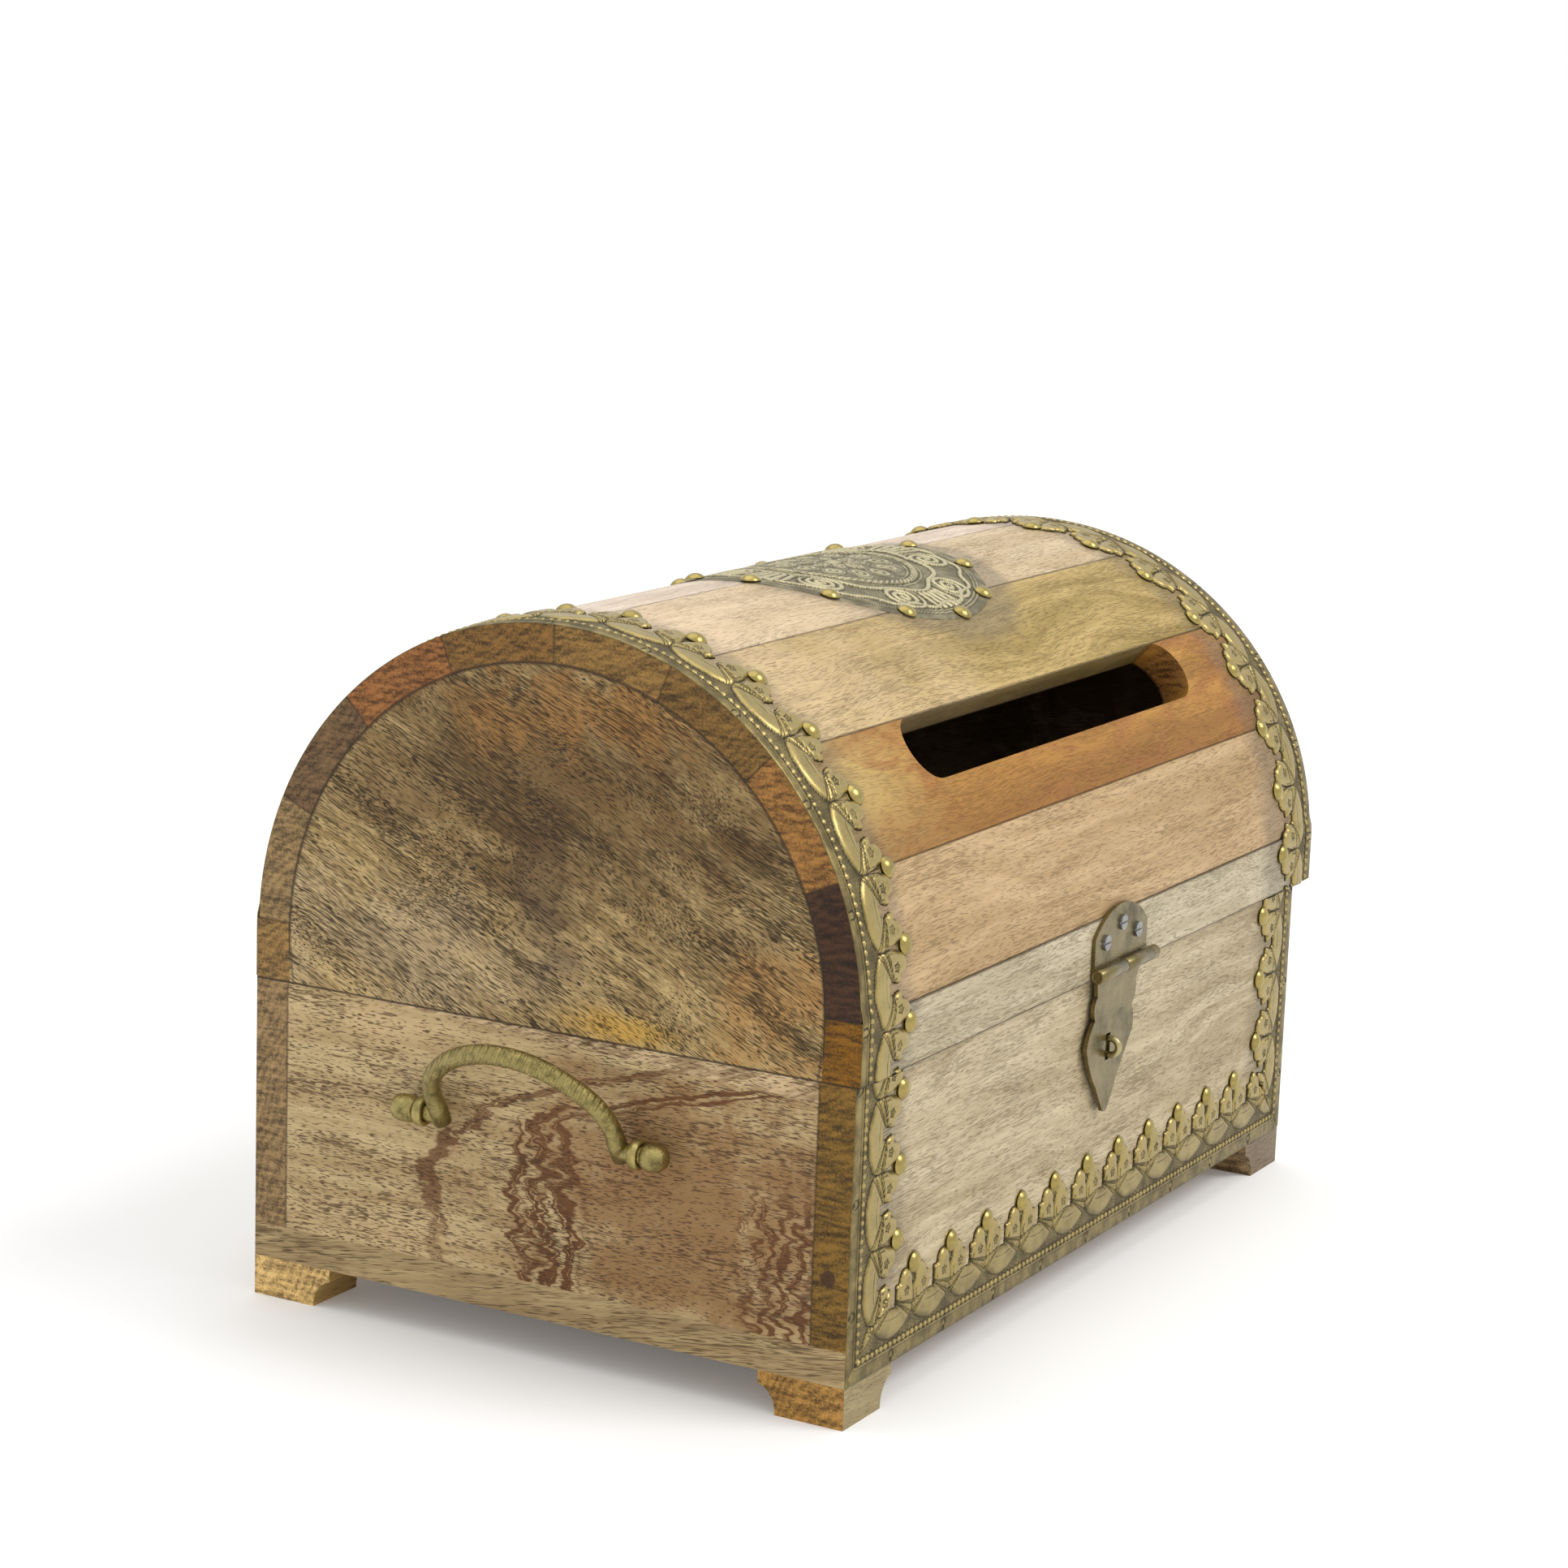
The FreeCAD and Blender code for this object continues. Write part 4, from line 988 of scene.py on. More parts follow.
# Each board: pale and dark growth bands, the tone of its end grain, and what sets it apart
BOARD_TONES = {
    "front_board": dict(light=(0.585, 0.49, 0.315), dark=(0.39, 0.305, 0.17), end=(0.17, 0.09, 0.013),
        knot=(-117.0, 53.0)),
    "back_board": dict(light=(0.54, 0.43, 0.27), dark=(0.39, 0.30, 0.17), end=(0.26, 0.165, 0.07),
        shift=(90, 40, 20)),
    "bottom_board": dict(light=(0.50, 0.37, 0.18), dark=(0.33, 0.22, 0.10), end=(0.32, 0.215, 0.095),
        shift=(0, 10, 80), grain_axis=1, turn=(math.radians(8), 0, -QUARTER), band=5.0, fleck_share=0.8,
        fleck_stretch=2.5),
    "front_left_foot": dict(light=(0.6, 0.48, 0.22), dark=(0.42, 0.31, 0.12), end=(0.36, 0.19, 0.045),
        shift=(20, 60, 10)),
    "front_right_foot": dict(light=(0.34, 0.25, 0.14), dark=(0.25, 0.17, 0.09), end=(0.3, 0.2, 0.1),
        shift=(50, 20, 40)),
    "back_left_foot": dict(light=(0.62, 0.41, 0.15), dark=(0.44, 0.27, 0.08), end=(0.66, 0.4, 0.15),
        shift=(80, 30, 70)),
    "back_right_foot": dict(light=(0.5, 0.35, 0.15), dark=(0.36, 0.22, 0.08), end=(0.36, 0.25, 0.1),
        shift=(10, 90, 30)),
    "left_end_board": dict(light=(0.62, 0.47, 0.24), dark=(0.4, 0.27, 0.12), end=(0.3, 0.2, 0.1),
        turn=(0, 0, -QUARTER), grain_axis=1, figure=wavy_figure, fleck_share=0.85, fleck_start=0.585,
        fleck_stretch=0.95, fleck_widen=1.25, fleck_colour=(0.07, 0.032, 0.016)),
    "right_end_board": dict(light=(0.50, 0.37, 0.22), dark=(0.36, 0.24, 0.12), end=(0.3, 0.2, 0.1),
        shift=(0, 140, 30), turn=(0, 0, -QUARTER), grain_axis=1, fleck_start=0.58),
    "left_lid_end": dict(light=(0.60, 0.43, 0.19), dark=(0.37, 0.245, 0.092), end=(0.2, 0.13, 0.06),
        shift=(0, 30, 0), turn=(math.radians(-24), 0, -QUARTER), grain_axis=1, figure=dark_cloud,
        joint="lid end", band=5.0, fleck_share=0.92, fleck_start=0.53,
        fleck_colour=(0.022, 0.013, 0.006), fleck_stretch=1.2, fleck_widen=0.85, bend=110.0),
    "right_lid_end": dict(light=(0.44, 0.34, 0.20), dark=(0.30, 0.20, 0.10), end=(0.2, 0.13, 0.06),
        shift=(0, 90, 40), turn=(math.radians(12), 0, -QUARTER), grain_axis=1, figure=dark_cloud,
        joint="lid end", band=7.0, fleck_start=0.57),
}
# The lid's two rims, and its staves from front to back
STAVE_TONES = {
    "front_rim_stave": dict(light=(0.57, 0.49, 0.34), dark=(0.41, 0.34, 0.205),
        end=(0.18, 0.075, 0.002), shift=(33, 7, 60)),
    "back_rim_stave": dict(light=(0.50, 0.40, 0.26), dark=(0.35, 0.27, 0.16), end=(0.26, 0.15, 0.045),
        shift=(63, 17, 90)),
    "stave_1": dict(light=(0.57, 0.39, 0.205), dark=(0.42, 0.27, 0.12), end=(0.05, 0.02, 0.007),
        shift=(11, 47, 9)),
    "slot_stave": dict(light=(0.51, 0.25, 0.045), dark=(0.33, 0.15, 0.02), end=(0.27, 0.125, 0.028),
        shift=(71, 4, 39), fleck_share=0.3, figure=curl),
    "stave_3": dict(light=(0.52, 0.37, 0.13), dark=(0.32, 0.22, 0.055), end=(0.17, 0.09, 0.02),
        shift=(5, 83, 2), figure=pale_left),
    "stave_4": dict(light=(0.68, 0.53, 0.33), dark=(0.53, 0.39, 0.22), end=(0.22, 0.12, 0.03),
        shift=(145, 31, 77), fleck_share=0.4, figure=pale_left),
    "stave_5": dict(light=(0.80, 0.67, 0.53), dark=(0.66, 0.52, 0.39), end=(0.18, 0.09, 0.02),
        shift=(15, 131, 27), fleck_share=0.25),
    "stave_6": dict(light=(0.66, 0.51, 0.34), dark=(0.50, 0.36, 0.22), end=(0.25, 0.10, 0.026),
        shift=(55, 11, 127)),
    "stave_7": dict(light=(0.56, 0.42, 0.24), dark=(0.42, 0.28, 0.14), end=(0.14, 0.08, 0.033),
        shift=(95, 71, 17)),
    "stave_8": dict(light=(0.58, 0.45, 0.28), dark=(0.42, 0.31, 0.18), end=(0.25, 0.16, 0.065),
        shift=(25, 51, 117)),
}


class CHEST_OT_wood(bpy.types.Operator):
    """Gives every board, stave and foot its own waxed wood"""

    bl_idname = "chest.wood"
    bl_label = "Dress the wood"

    def execute(self, context):
        wood = context.scene.chest_wood
        tones = dict(BOARD_TONES)
        for name, tone in STAVE_TONES.items():
            tones[name] = dict(tone, joint="stave")
        for name, tone in tones.items():
            paint(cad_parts[name], mango_wood(f"{name}_wood", wood, **tone))
        return {"FINISHED"}


# Borders

class CHEST_OT_borders(bpy.types.Operator):
    """Embosses the sheet brass borders of the lid and the front"""

    bl_idname = "chest.borders"
    bl_label = "Make the borders"

    def execute(self, context):
        brass = context.scene.chest_brass
        low = SEAM + STRIP_GAP - DOME_CENTRE.z
        arch = BorderMotif(ARCH_FIRST_ANGLE * DOME_RADIUS, ARCH_PITCH_ANGLE * DOME_RADIUS, 3.9)
        side = BorderMotif(SEAM - SIDE_FIRST, SIDE_PITCH, 5.2, crescent_lift=0.65)
        first = FRONT_SHIFT - (FRONT_NAILS - 1) / 2 * FRONT_PITCH
        front = BorderMotif(first, FRONT_PITCH, 5.4, crescent_lift=0.42)

        def side_outline(inset, run):
            room = inset - (run - FLOOR_EDGE)
            return np.maximum(side.outline(inset, run), room * MITRE)

        def front_outline(inset, run):
            room = inset - (HALF_LENGTH - np.abs(run))
            return np.maximum(front.outline(inset, run), room * MITRE)

        strips = [("left_arch_border", "left_arch_strip", "lid", arch, arch.outline,
                   low, math.pi * DOME_RADIUS - low, arch_surface(-1)),
                  ("right_arch_border", "right_arch_strip", "lid", arch, arch.outline,
                   low, math.pi * DOME_RADIUS - low, arch_surface(1)),
                  ("left_front_border", "left_base_strip", "base", side, side_outline,
                   FLOOR_EDGE, SEAM - STRIP_GAP, side_surface(-1)),
                  ("right_front_border", "right_base_strip", "base", side, side_outline,
                   FLOOR_EDGE, SEAM - STRIP_GAP, side_surface(1)),
                  ("bottom_front_border", "bottom_base_strip", "base", front, front_outline,
                   -HALF_LENGTH, HALF_LENGTH, front_surface)]
        metal = worn_brass_with_painted_light("embossed_brass", tuple(brass.brass), tuple(brass.patina))
        cell = brass.cell * 1.0
        for name, node, body, motif, outline, start, end, surface in strips:
            mesh = sheet_grid(STRIP_WIDTH, start, end, cell, motif.border - 1.0)
            cut_outline(mesh, outline, cell)
            emboss_sheet(mesh, outline, lambda u, t, m=motif: m.relief(u, t, brass.emboss), surface)
            add_thickness(finish_piece(name, mesh, body, [node], metal))
        return {"FINISHED"}


# Nails

NAIL_PROFILE = [(0.0, 2.2), (1.0, 2.12), (2.0, 1.82), (2.9, 1.3), (3.5, 0.75), (3.85, 0.3),
                (4.0, 0.0), (0.0, 0.0)]
NAIL_LIFT = 0.8
CROWN_NAILS = 12
CROWN_NAIL_EDGE = 2.5
MEDALLION_HALF = 61.5


class CHEST_OT_nails(bpy.types.Operator):
    """Sets the dome-headed nails in the borders and the medallion"""

    bl_idname = "chest.nails"
    bl_label = "Set the nails"

    def execute(self, context):
        brass = context.scene.chest_brass
        metal = plain_brass("nail_brass", tuple(brass.gold), rough=0.24, marks=0.1, dirt=0.3)
        head = turned_mesh(NAIL_PROFILE, 20)
        arch, base, crown = bmesh.new(), bmesh.new(), bmesh.new()
        for side in (-1, 1):
            for count in range(ARCH_NAILS):
                angle = ARCH_FIRST_ANGLE + ARCH_PITCH_ANGLE * count
                shift = float(flare_at(angle)) if side > 0 else 0.0
                place, normal = dome_place(angle, side * (HALF_LENGTH + shift - NAIL_INSET), NAIL_LIFT)
                add_copy(arch, head, at(place, normal))
            for count in range(SIDE_NAILS):
                height = SEAM - SIDE_FIRST - SIDE_PITCH * count
                place = Vector((side * (HALF_LENGTH - NAIL_INSET), FRONT_FACE - NAIL_LIFT, height))
                add_copy(base, head, at(place, (0, -1, 0)))
        for count in range(FRONT_NAILS):
            x = FRONT_SHIFT + FRONT_PITCH * (count - (FRONT_NAILS - 1) / 2)
            place = Vector((x, FRONT_FACE - NAIL_LIFT, FLOOR_EDGE + NAIL_INSET))
            add_copy(base, head, at(place, (0, -1, 0)))
        low, high = node_box("medallion")
        centre_x = (low.x + high.x) / 2
        half_x = (high.x - low.x) / 2 - CROWN_NAIL_EDGE
        half_run = MEDALLION_HALF - CROWN_NAIL_EDGE
        for count in range(CROWN_NAILS):
            turn = math.tau * count / CROWN_NAILS
            angle = QUARTER + half_run * math.sin(turn) / DOME_RADIUS
            place, normal = dome_place(angle, centre_x + half_x * math.cos(turn), NAIL_LIFT)
            add_copy(crown, head, at(place, normal))
        new_piece("arch_nails", arch, "lid", ["arch_strip_nails"], metal)
        new_piece("front_nails", base, "base", ["base_strip_nails"], metal)
        new_piece("crown_nails", crown, "lid", ["medallion_nails"], metal)
        return {"FINISHED"}


class PlaqueMotif:
    """The oval plaque: a rosette in a twisted rope, with scrolls and fans in the fields around it."""

    rim_lines = (4.6, 6.0)
    rope_radius = 32.0
    rope_twists = 72
    rope_lines = (29.4, 34.8)
    petal_rows = ((8, 4.0, 15.5), (12, 14.5, 27.5))
    button_radius = 3.6
    field_start = 35.8
    field_edge = 6.6
    scroll_turn = 0.42
    scroll_centre = 46.0
    scroll_pitch = 3.3
    scroll_radius = 9.6
    blade_pitch = 3.4
    wave_radius = 39.5
    tip_inset = 9.6

    def __init__(self, half_x, half_y):
        self.half_x = half_x
        self.half_y = half_y

    def outline(self, x, y):
        scale = np.hypot(x / self.half_x, y / self.half_y)
        return (scale - 1.0) * np.hypot(x, y) / np.maximum(scale, 0.01)

    def petals(self, radius, turn, count, inner, outer):
        fold = np.abs(np.mod(turn * count / math.tau + 0.5, 1.0) - 0.5) * math.tau / count * radius
        middle = (inner + outer) / 2
        long = (radius - middle) / ((outer - inner) / 2)
        petal = 1.0 - np.hypot(long, fold / (math.pi * middle / count * 0.9))
        lines = 0.5 + 0.5 * np.cos(petal * math.tau * 2.2)
        return smooth_rise(0.0, 0.2, petal) * (0.35 + 0.65 * lines)

    def scrolls(self, radius, turn):
        lines = np.zeros_like(radius)
        for sign in (-1.0, 1.0):
            fold = np.mod(turn - sign * self.scroll_turn + QUARTER / 2, QUARTER) - QUARTER / 2
            right, up = radius - self.scroll_centre, fold * self.scroll_centre
            curl_radius = np.hypot(right, up)
            curl_turn = np.arctan2(up, right) * sign
            spiral = np.mod(curl_radius / self.scroll_pitch + curl_turn / math.tau, 1.0) - 0.5
            scroll = pillow(1.0 - np.abs(spiral) * self.scroll_pitch, 0.9)
            inside = smooth_rise(self.scroll_radius, self.scroll_radius - 0.8, curl_radius)
            lines = np.maximum(lines, scroll * inside)
        return lines

    def fans(self, radius, turn):
        fan = np.mod(turn + QUARTER / 2, QUARTER) - QUARTER / 2
        spread = fan * self.scroll_centre / self.blade_pitch * (self.scroll_centre / radius) ** 0.5
        blade = np.abs(np.mod(spread + 0.5, 1.0) - 0.5) * self.blade_pitch
        room = smooth_rise(9.5, 8.0, np.abs(fan) * radius) * smooth_rise(40.0, 43.0, radius)
        return pillow(1.15 - blade, 1.0) * room

    def relief(self, x, y):
        edge = -self.outline(x, y)
        radius = np.hypot(x, y)
        turn = np.arctan2(y, x)
        height = np.full_like(x, 0.3)
        wear_and_painted_light = np.full_like(x, 0.25)
        for inset in self.rim_lines:
            line = ridge(edge - inset, 0.4)
            height += 0.4 * line
            wear_and_painted_light = np.maximum(wear_and_painted_light, 0.8 * line)
        twist = 0.5 + 0.5 * np.cos(turn * self.rope_twists + (radius - self.rope_radius) * 2.2)
        rope = pillow(1.5 - np.abs(radius - self.rope_radius), 1.3) * (0.55 + 0.45 * twist)
        height += 1.0 * rope
        wear_and_painted_light = np.maximum(wear_and_painted_light, rope)
        for ring in self.rope_lines:
            line = ridge(radius - ring, 0.35)
            height += 0.35 * line
            wear_and_painted_light = np.maximum(wear_and_painted_light, 0.7 * line)
        for row in self.petal_rows:
            leaf = self.petals(radius, turn, *row)
            height += 0.7 * leaf
            wear_and_painted_light = np.maximum(wear_and_painted_light, leaf)
        button = pillow(self.button_radius - radius, 3.0)
        height += 1.0 * button
        wear_and_painted_light = np.maximum(wear_and_painted_light, button)
        lines = self.scrolls(radius, turn)
        free = 1.0 - smooth_rise(0.0, 0.3, lines)
        lines = np.maximum(lines, self.fans(radius, turn) * free)
        wave = np.abs(radius - self.wave_radius - 1.6 * np.cos(turn * 8.0))
        tip = np.abs(edge - self.tip_inset - 1.2 * np.cos(turn * 16.0))
        lines = np.maximum(lines, np.maximum(pillow(1.0 - wave, 0.9), pillow(0.9 - tip, 0.8)))
        lines *= smooth_rise(self.field_start, self.field_start + 0.8, radius)
        lines *= smooth_rise(self.field_edge, self.field_edge + 0.8, edge)
        return height + 0.8 * lines, np.maximum(wear_and_painted_light, lines)


class CHEST_OT_medallion(bpy.types.Operator):
    """Embosses the oval plaque on the crown of the lid"""

    bl_idname = "chest.medallion"
    bl_label = "Make the medallion"

    def execute(self, context):
        brass = context.scene.chest_brass
        cell = brass.cell * PLAQUE_CELL
        low, high = node_box("medallion")
        centre_x, half_x = (low.x + high.x) / 2, (high.x - low.x) / 2
        motif = PlaqueMotif(half_x, MEDALLION_HALF)

        def surface(x, y, height):
            angle = QUARTER + y / DOME_RADIUS
            radius = DOME_RADIUS + height
            return np.column_stack([centre_x + x, DOME_CENTRE.y - radius * np.cos(angle),
                                    DOME_CENTRE.z + radius * np.sin(angle)])

        mesh = sheet_grid(2 * half_x, -MEDALLION_HALF, MEDALLION_HALF, cell, 0.1)
        points = read_points(mesh)
        points[:, 0] -= half_x
        write_points(mesh, points)
        cut_outline(mesh, motif.outline, cell)
        emboss_sheet(mesh, motif.outline, motif.relief, surface)
        metal = worn_brass_with_painted_light("medallion_brass", tuple(brass.plaque), tuple(brass.plaque_patina), 0.42)
        piece = finish_piece("medallion_plaque", mesh, "lid", ["medallion"], metal)
        add_thickness(piece)
        return {"FINISHED"}


# Handles

BOW_HALF = 37.6
BOW_RISE = 36.7
BOW_LEG = 8.0
BOW_CORNER = 22.0
BOW_FOOT = -3.4
BOW_STANDOFF = 8.0
EYE_ROW = 45.0
EYE_INNER = 3.6
EYE_OUTER = 5.4
EYE_HALF = 1.8
KNOB_GAP = 0.5
REST_SWING = math.radians(30)
PIN_START = 36.0
PIN_PROFILE = [(0, 0), (3.3, 0), (3.3, 12.0), (0, 12.0)]
SHANK_PROFILE = [(0, 0), (2.6, 0), (1.9, 1.0), (1.9, 4.4), (0, 4.4)]
EGG_PROFILE = [(0, 0), (3.3, 0), (4.4, 0.8), (5.1, 2.6), (5.2, 4.6), (4.7, 6.9), (3.4, 8.7),
               (1.7, 9.3), (0, 9.4)]
BARREL_PROFILE = [(0, 0), (3.8, 0), (4.6, 0.7), (5.0, 2.4), (5.0, 6.6), (4.6, 8.3), (3.8, 9.2),
                  (0, 9.4)]


def band(inner, outer, start, end, flat, slope):
    """The closed profile of a ring whose outer edges are bevelled."""
    return [(inner, start), (outer - flat, start), (outer, start + slope), (outer, end - slope),
            (outer - flat, end), (inner, end), (inner, start)]


class CHEST_OT_handles(bpy.types.Operator):
    """Casts the two drop handles and their eyes"""

    bl_idname = "chest.handles"
    bl_label = "Make the handles"

    def execute(self, context):
        handle = context.scene.chest_handle
        metal = plain_brass("cast_brass", tuple(handle.cast_brass), rough=0.3, marks=0.4, dirt=0.8,
                            grain=0.3, grooves=file_marks)
        eye_metal = plain_brass("eye_brass", shaded(handle.cast_brass, 1.2), rough=0.34,
                                marks=0.15, dirt=0.6)
        for side, name in ((-1, "left"), (1, "right")):
            low, high = node_box(f"{name}_handle_eyes")
            pivot = Vector((side * (HALF_LENGTH + BOW_STANDOFF), 0, (low.z + high.z) / 2))
            place = Matrix.Translation(pivot) @ Matrix.Rotation(side * REST_SWING, 4, "Y")
            bm = self.bow(handle)
            bmesh.ops.transform(bm, matrix=Matrix.Scale(MM, 4) @ place, verts=bm.verts)
            self.ends(bm, handle, place)
            new_piece(f"{name}_drop_handle", bm, f"{name}_handle", [f"{name}_bail"], metal)
            rings = self.eyes(handle, side, pivot)
            new_piece(f"{name}_eye_rings", rings, "base", [f"{name}_handle_eyes"],
                      eye_metal)
        return {"FINISHED"}

    def bow(self, handle):
        """The bow's bar: square-ish feet, a corner arc each side and a flatter crown."""
        spread = BOW_HALF - BOW_CORNER
        lift = BOW_RISE - BOW_LEG - BOW_CORNER
        turn = QUARTER - 2 * math.atan(lift / spread)
        crown = spread / math.cos(turn) + BOW_CORNER
        crown_z = BOW_LEG - (crown - BOW_CORNER) * math.sin(turn)
        stations = []

        def station(y, z, heading_y, heading_z, share):
            radius = handle.bar_radius * share
            stations.append((Vector((0, y, z)), Vector((0, heading_y, heading_z)), Vector((1, 0, 0)),
                             radius, radius))

        def arc(centre_y, centre_z, size, start, end, count, skip):
            for step in range(skip, count + 1):
                angle = start + (end - start) * step / count
                out_y, out_z = math.cos(angle), math.sin(angle)
                station(centre_y + out_y * size, centre_z + out_z * size, -out_z, out_y,
                        1.0 - 0.08 * out_y ** 2)

        station(BOW_HALF, BOW_FOOT, 0, 1, 0.95)
        station(BOW_HALF, BOW_LEG / 2, 0, 1, 1.0)
        arc(spread, BOW_LEG, BOW_CORNER, 0.0, turn, 8, 0)
        arc(0.0, crown_z, crown, turn, math.pi - turn, 18, 1)
        arc(-spread, BOW_LEG, BOW_CORNER, math.pi - turn, math.pi, 8, 1)
        station(-BOW_HALF, BOW_LEG / 2, 0, -1, 1.0)
        station(-BOW_HALF, BOW_FOOT, 0, -1, 0.95)
        return swept(stations, handle.ring_sides)

    def eyes(self, handle, side, pivot):
        """Band rings on short shanks that go into the end board."""
        ring = turned_mesh(band(EYE_INNER, EYE_OUTER, -EYE_HALF, EYE_HALF, 0.5, 0.6), handle.ring_sides)
        shank = turned_mesh(SHANK_PROFILE, handle.ring_sides)
        bm = bmesh.new()
        for row in (-1, 1):
            add_copy(bm, ring, at(pivot + Vector((0, row * EYE_ROW, 0)), (0, 1, 0)))
            foot = Vector((side * HALF_LENGTH, row * EYE_ROW, pivot.z))
            add_copy(bm, shank, at(foot, (side, 0, 0)))
        return bm

    def ends(self, bm, handle, place):
        """The pins through the eyes: an egg-shaped knob in front and a barrel behind."""
        pin = turned_mesh(PIN_PROFILE, handle.ring_sides)
        start = EYE_ROW + EYE_HALF + KNOB_GAP
        for row, profile in ((-1, EGG_PROFILE), (1, BARREL_PROFILE)):
            knob = turned_mesh(profile, handle.ring_sides)
            add_copy(bm, knob, place @ at(Vector((0, row * start, 0)), (0, row, 0)))
            add_copy(bm, pin, place @ at(Vector((0, row * PIN_START, 0)), (0, row, 0)))


# Hasp, staple, hinges and screws

WIRE_RADIUS = 1.3
LOOP_RADIUS = 3.2
LOOP_STEPS = 16
STAPLE_PLATE = 1.2
KNUCKLE_RADIUS = 2.75
SLEEVE_RADIUS = 2.82
SLEEVE_BORE = 1.7
SLEEVE_OVERRUN = 0.3
SLEEVE_JOINT = 12.0
SLEEVE_GAP = 0.15


class CHEST_OT_fittings(bpy.types.Operator):
    """Finishes the hasp, the staple, the hinges and the screws"""

    bl_idname = "chest.fittings"
    bl_label = "Finish the fittings"

    def execute(self, context):
        dull = plain_brass("hasp_brass", (0.19, 0.15, 0.063), rough=0.27, marks=0.12, dirt=0.75,
                           grain=0.08)
        steel = plain_brass("slotted_steel", (0.27, 0.27, 0.26), rough=0.35, marks=0.15, dirt=0.4)
        dark = plain_brass("pin_steel", (0.20, 0.17, 0.12), rough=0.45, marks=0.2, dirt=0.5)
        bright = plain_brass("staple_brass", (0.42, 0.36, 0.18), rough=0.22, marks=0.1, dirt=0.4)
        aged = plain_brass("hinge_brass", (0.40, 0.32, 0.15), rough=0.4, marks=0.2, dirt=0.5)
        dress = {
            "hasp_plate": dull, "hasp_strap": dull, "hasp_screws": steel, "hasp_pin": dull,
            "hinge_base_leaves": aged, "hinge_lid_leaves": aged, "hinge_pins": dark,
            "hinge_base_screws": steel, "hinge_lid_screws": steel,
        }
        for name, metal in dress.items():
            paint(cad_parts[name], metal)
        self.staple(bright)
        self.barrels(dull)
        return {"FINISHED"}

    def staple(self, metal):
        """A round wire loop on its small plate."""
        low, high = node_box("hasp_staple")
        x, z = (low.x + high.x) / 2, (low.z + high.z) / 2
        start, reach = FRONT_FACE - STAPLE_PLATE, low.y + WIRE_RADIUS + LOOP_RADIUS
        side = Vector((1, 0, 0))

        def station(y, up, heading):
            return Vector((x, y, z + up)), Vector(heading), side, WIRE_RADIUS, WIRE_RADIUS

        stations = [station(start, LOOP_RADIUS, (0, -1, 0))]
        for step in range(LOOP_STEPS + 1):
            turn = math.pi * step / LOOP_STEPS
            stations.append(station(reach - LOOP_RADIUS * math.sin(turn), LOOP_RADIUS * math.cos(turn),
                                    (0, -math.cos(turn), -math.sin(turn))))
        stations.append(station(start, -LOOP_RADIUS, (0, 1, 0)))
        bm = swept(stations, LOOP_STEPS)
        made = bmesh.ops.create_cube(bm, size=1.0)
        size = Vector((high.x - low.x, STAPLE_PLATE, high.z - low.z))
        bmesh.ops.scale(bm, vec=size, verts=made["verts"])
        bmesh.ops.translate(bm, vec=Vector((x, FRONT_FACE - STAPLE_PLATE / 2, z)), verts=made["verts"])
        bmesh.ops.transform(bm, matrix=Matrix.Scale(MM, 4), verts=bm.verts)
        new_piece("staple_loop", bm, "base", ["hasp_staple"], metal)

    def barrels(self, metal):
        """Rolled sleeves over the hasp's knuckle, each on its own body."""
        low, high = node_box("hasp_plate")
        axis_y, axis_z = low.y + KNUCKLE_RADIUS, low.z + KNUCKLE_RADIUS
        halves = (("left_sleeve", "lid", low.x - SLEEVE_OVERRUN, SLEEVE_JOINT - SLEEVE_GAP),
                  ("right_sleeve", "hasp", SLEEVE_JOINT + SLEEVE_GAP, high.x))
        for name, body, start, end in halves:
            sleeve = turned_mesh(band(SLEEVE_BORE, SLEEVE_RADIUS, 0, end - start, 0.4, 0.4), 32)
            bm = bmesh.new()
            add_copy(bm, sleeve, at(Vector((start, axis_y, axis_z)), (1, 0, 0)))
            new_piece(name, bm, body, [], metal)


# Stage

LAMPS = {"key": dict(place=(0.5, -1.6, 1.9), strength=1.3, spread=28.0),
         "top": dict(place=(0.1, 0.5, 2.2), strength=0.8, spread=60.0)}
AIM_HEIGHT = 0.12
WORLD_GLOW = 0.72
FLOOR_HALF = 60.0
FLOOR_GLOW = 0.1


def seen_ray(nodes, links):
    """One for rays from the camera and for those that metal or glass sends on."""
    path = nodes.new("ShaderNodeLightPath")
    total = path.outputs["Is Camera Ray"]
    for name in ("Is Glossy Ray", "Is Transmission Ray"):
        larger = nodes.new("ShaderNodeMath")
        larger.operation = "MAXIMUM"
        links.new(total, larger.inputs[0])
        links.new(path.outputs[name], larger.inputs[1])
        total = larger.outputs[0]
    return total


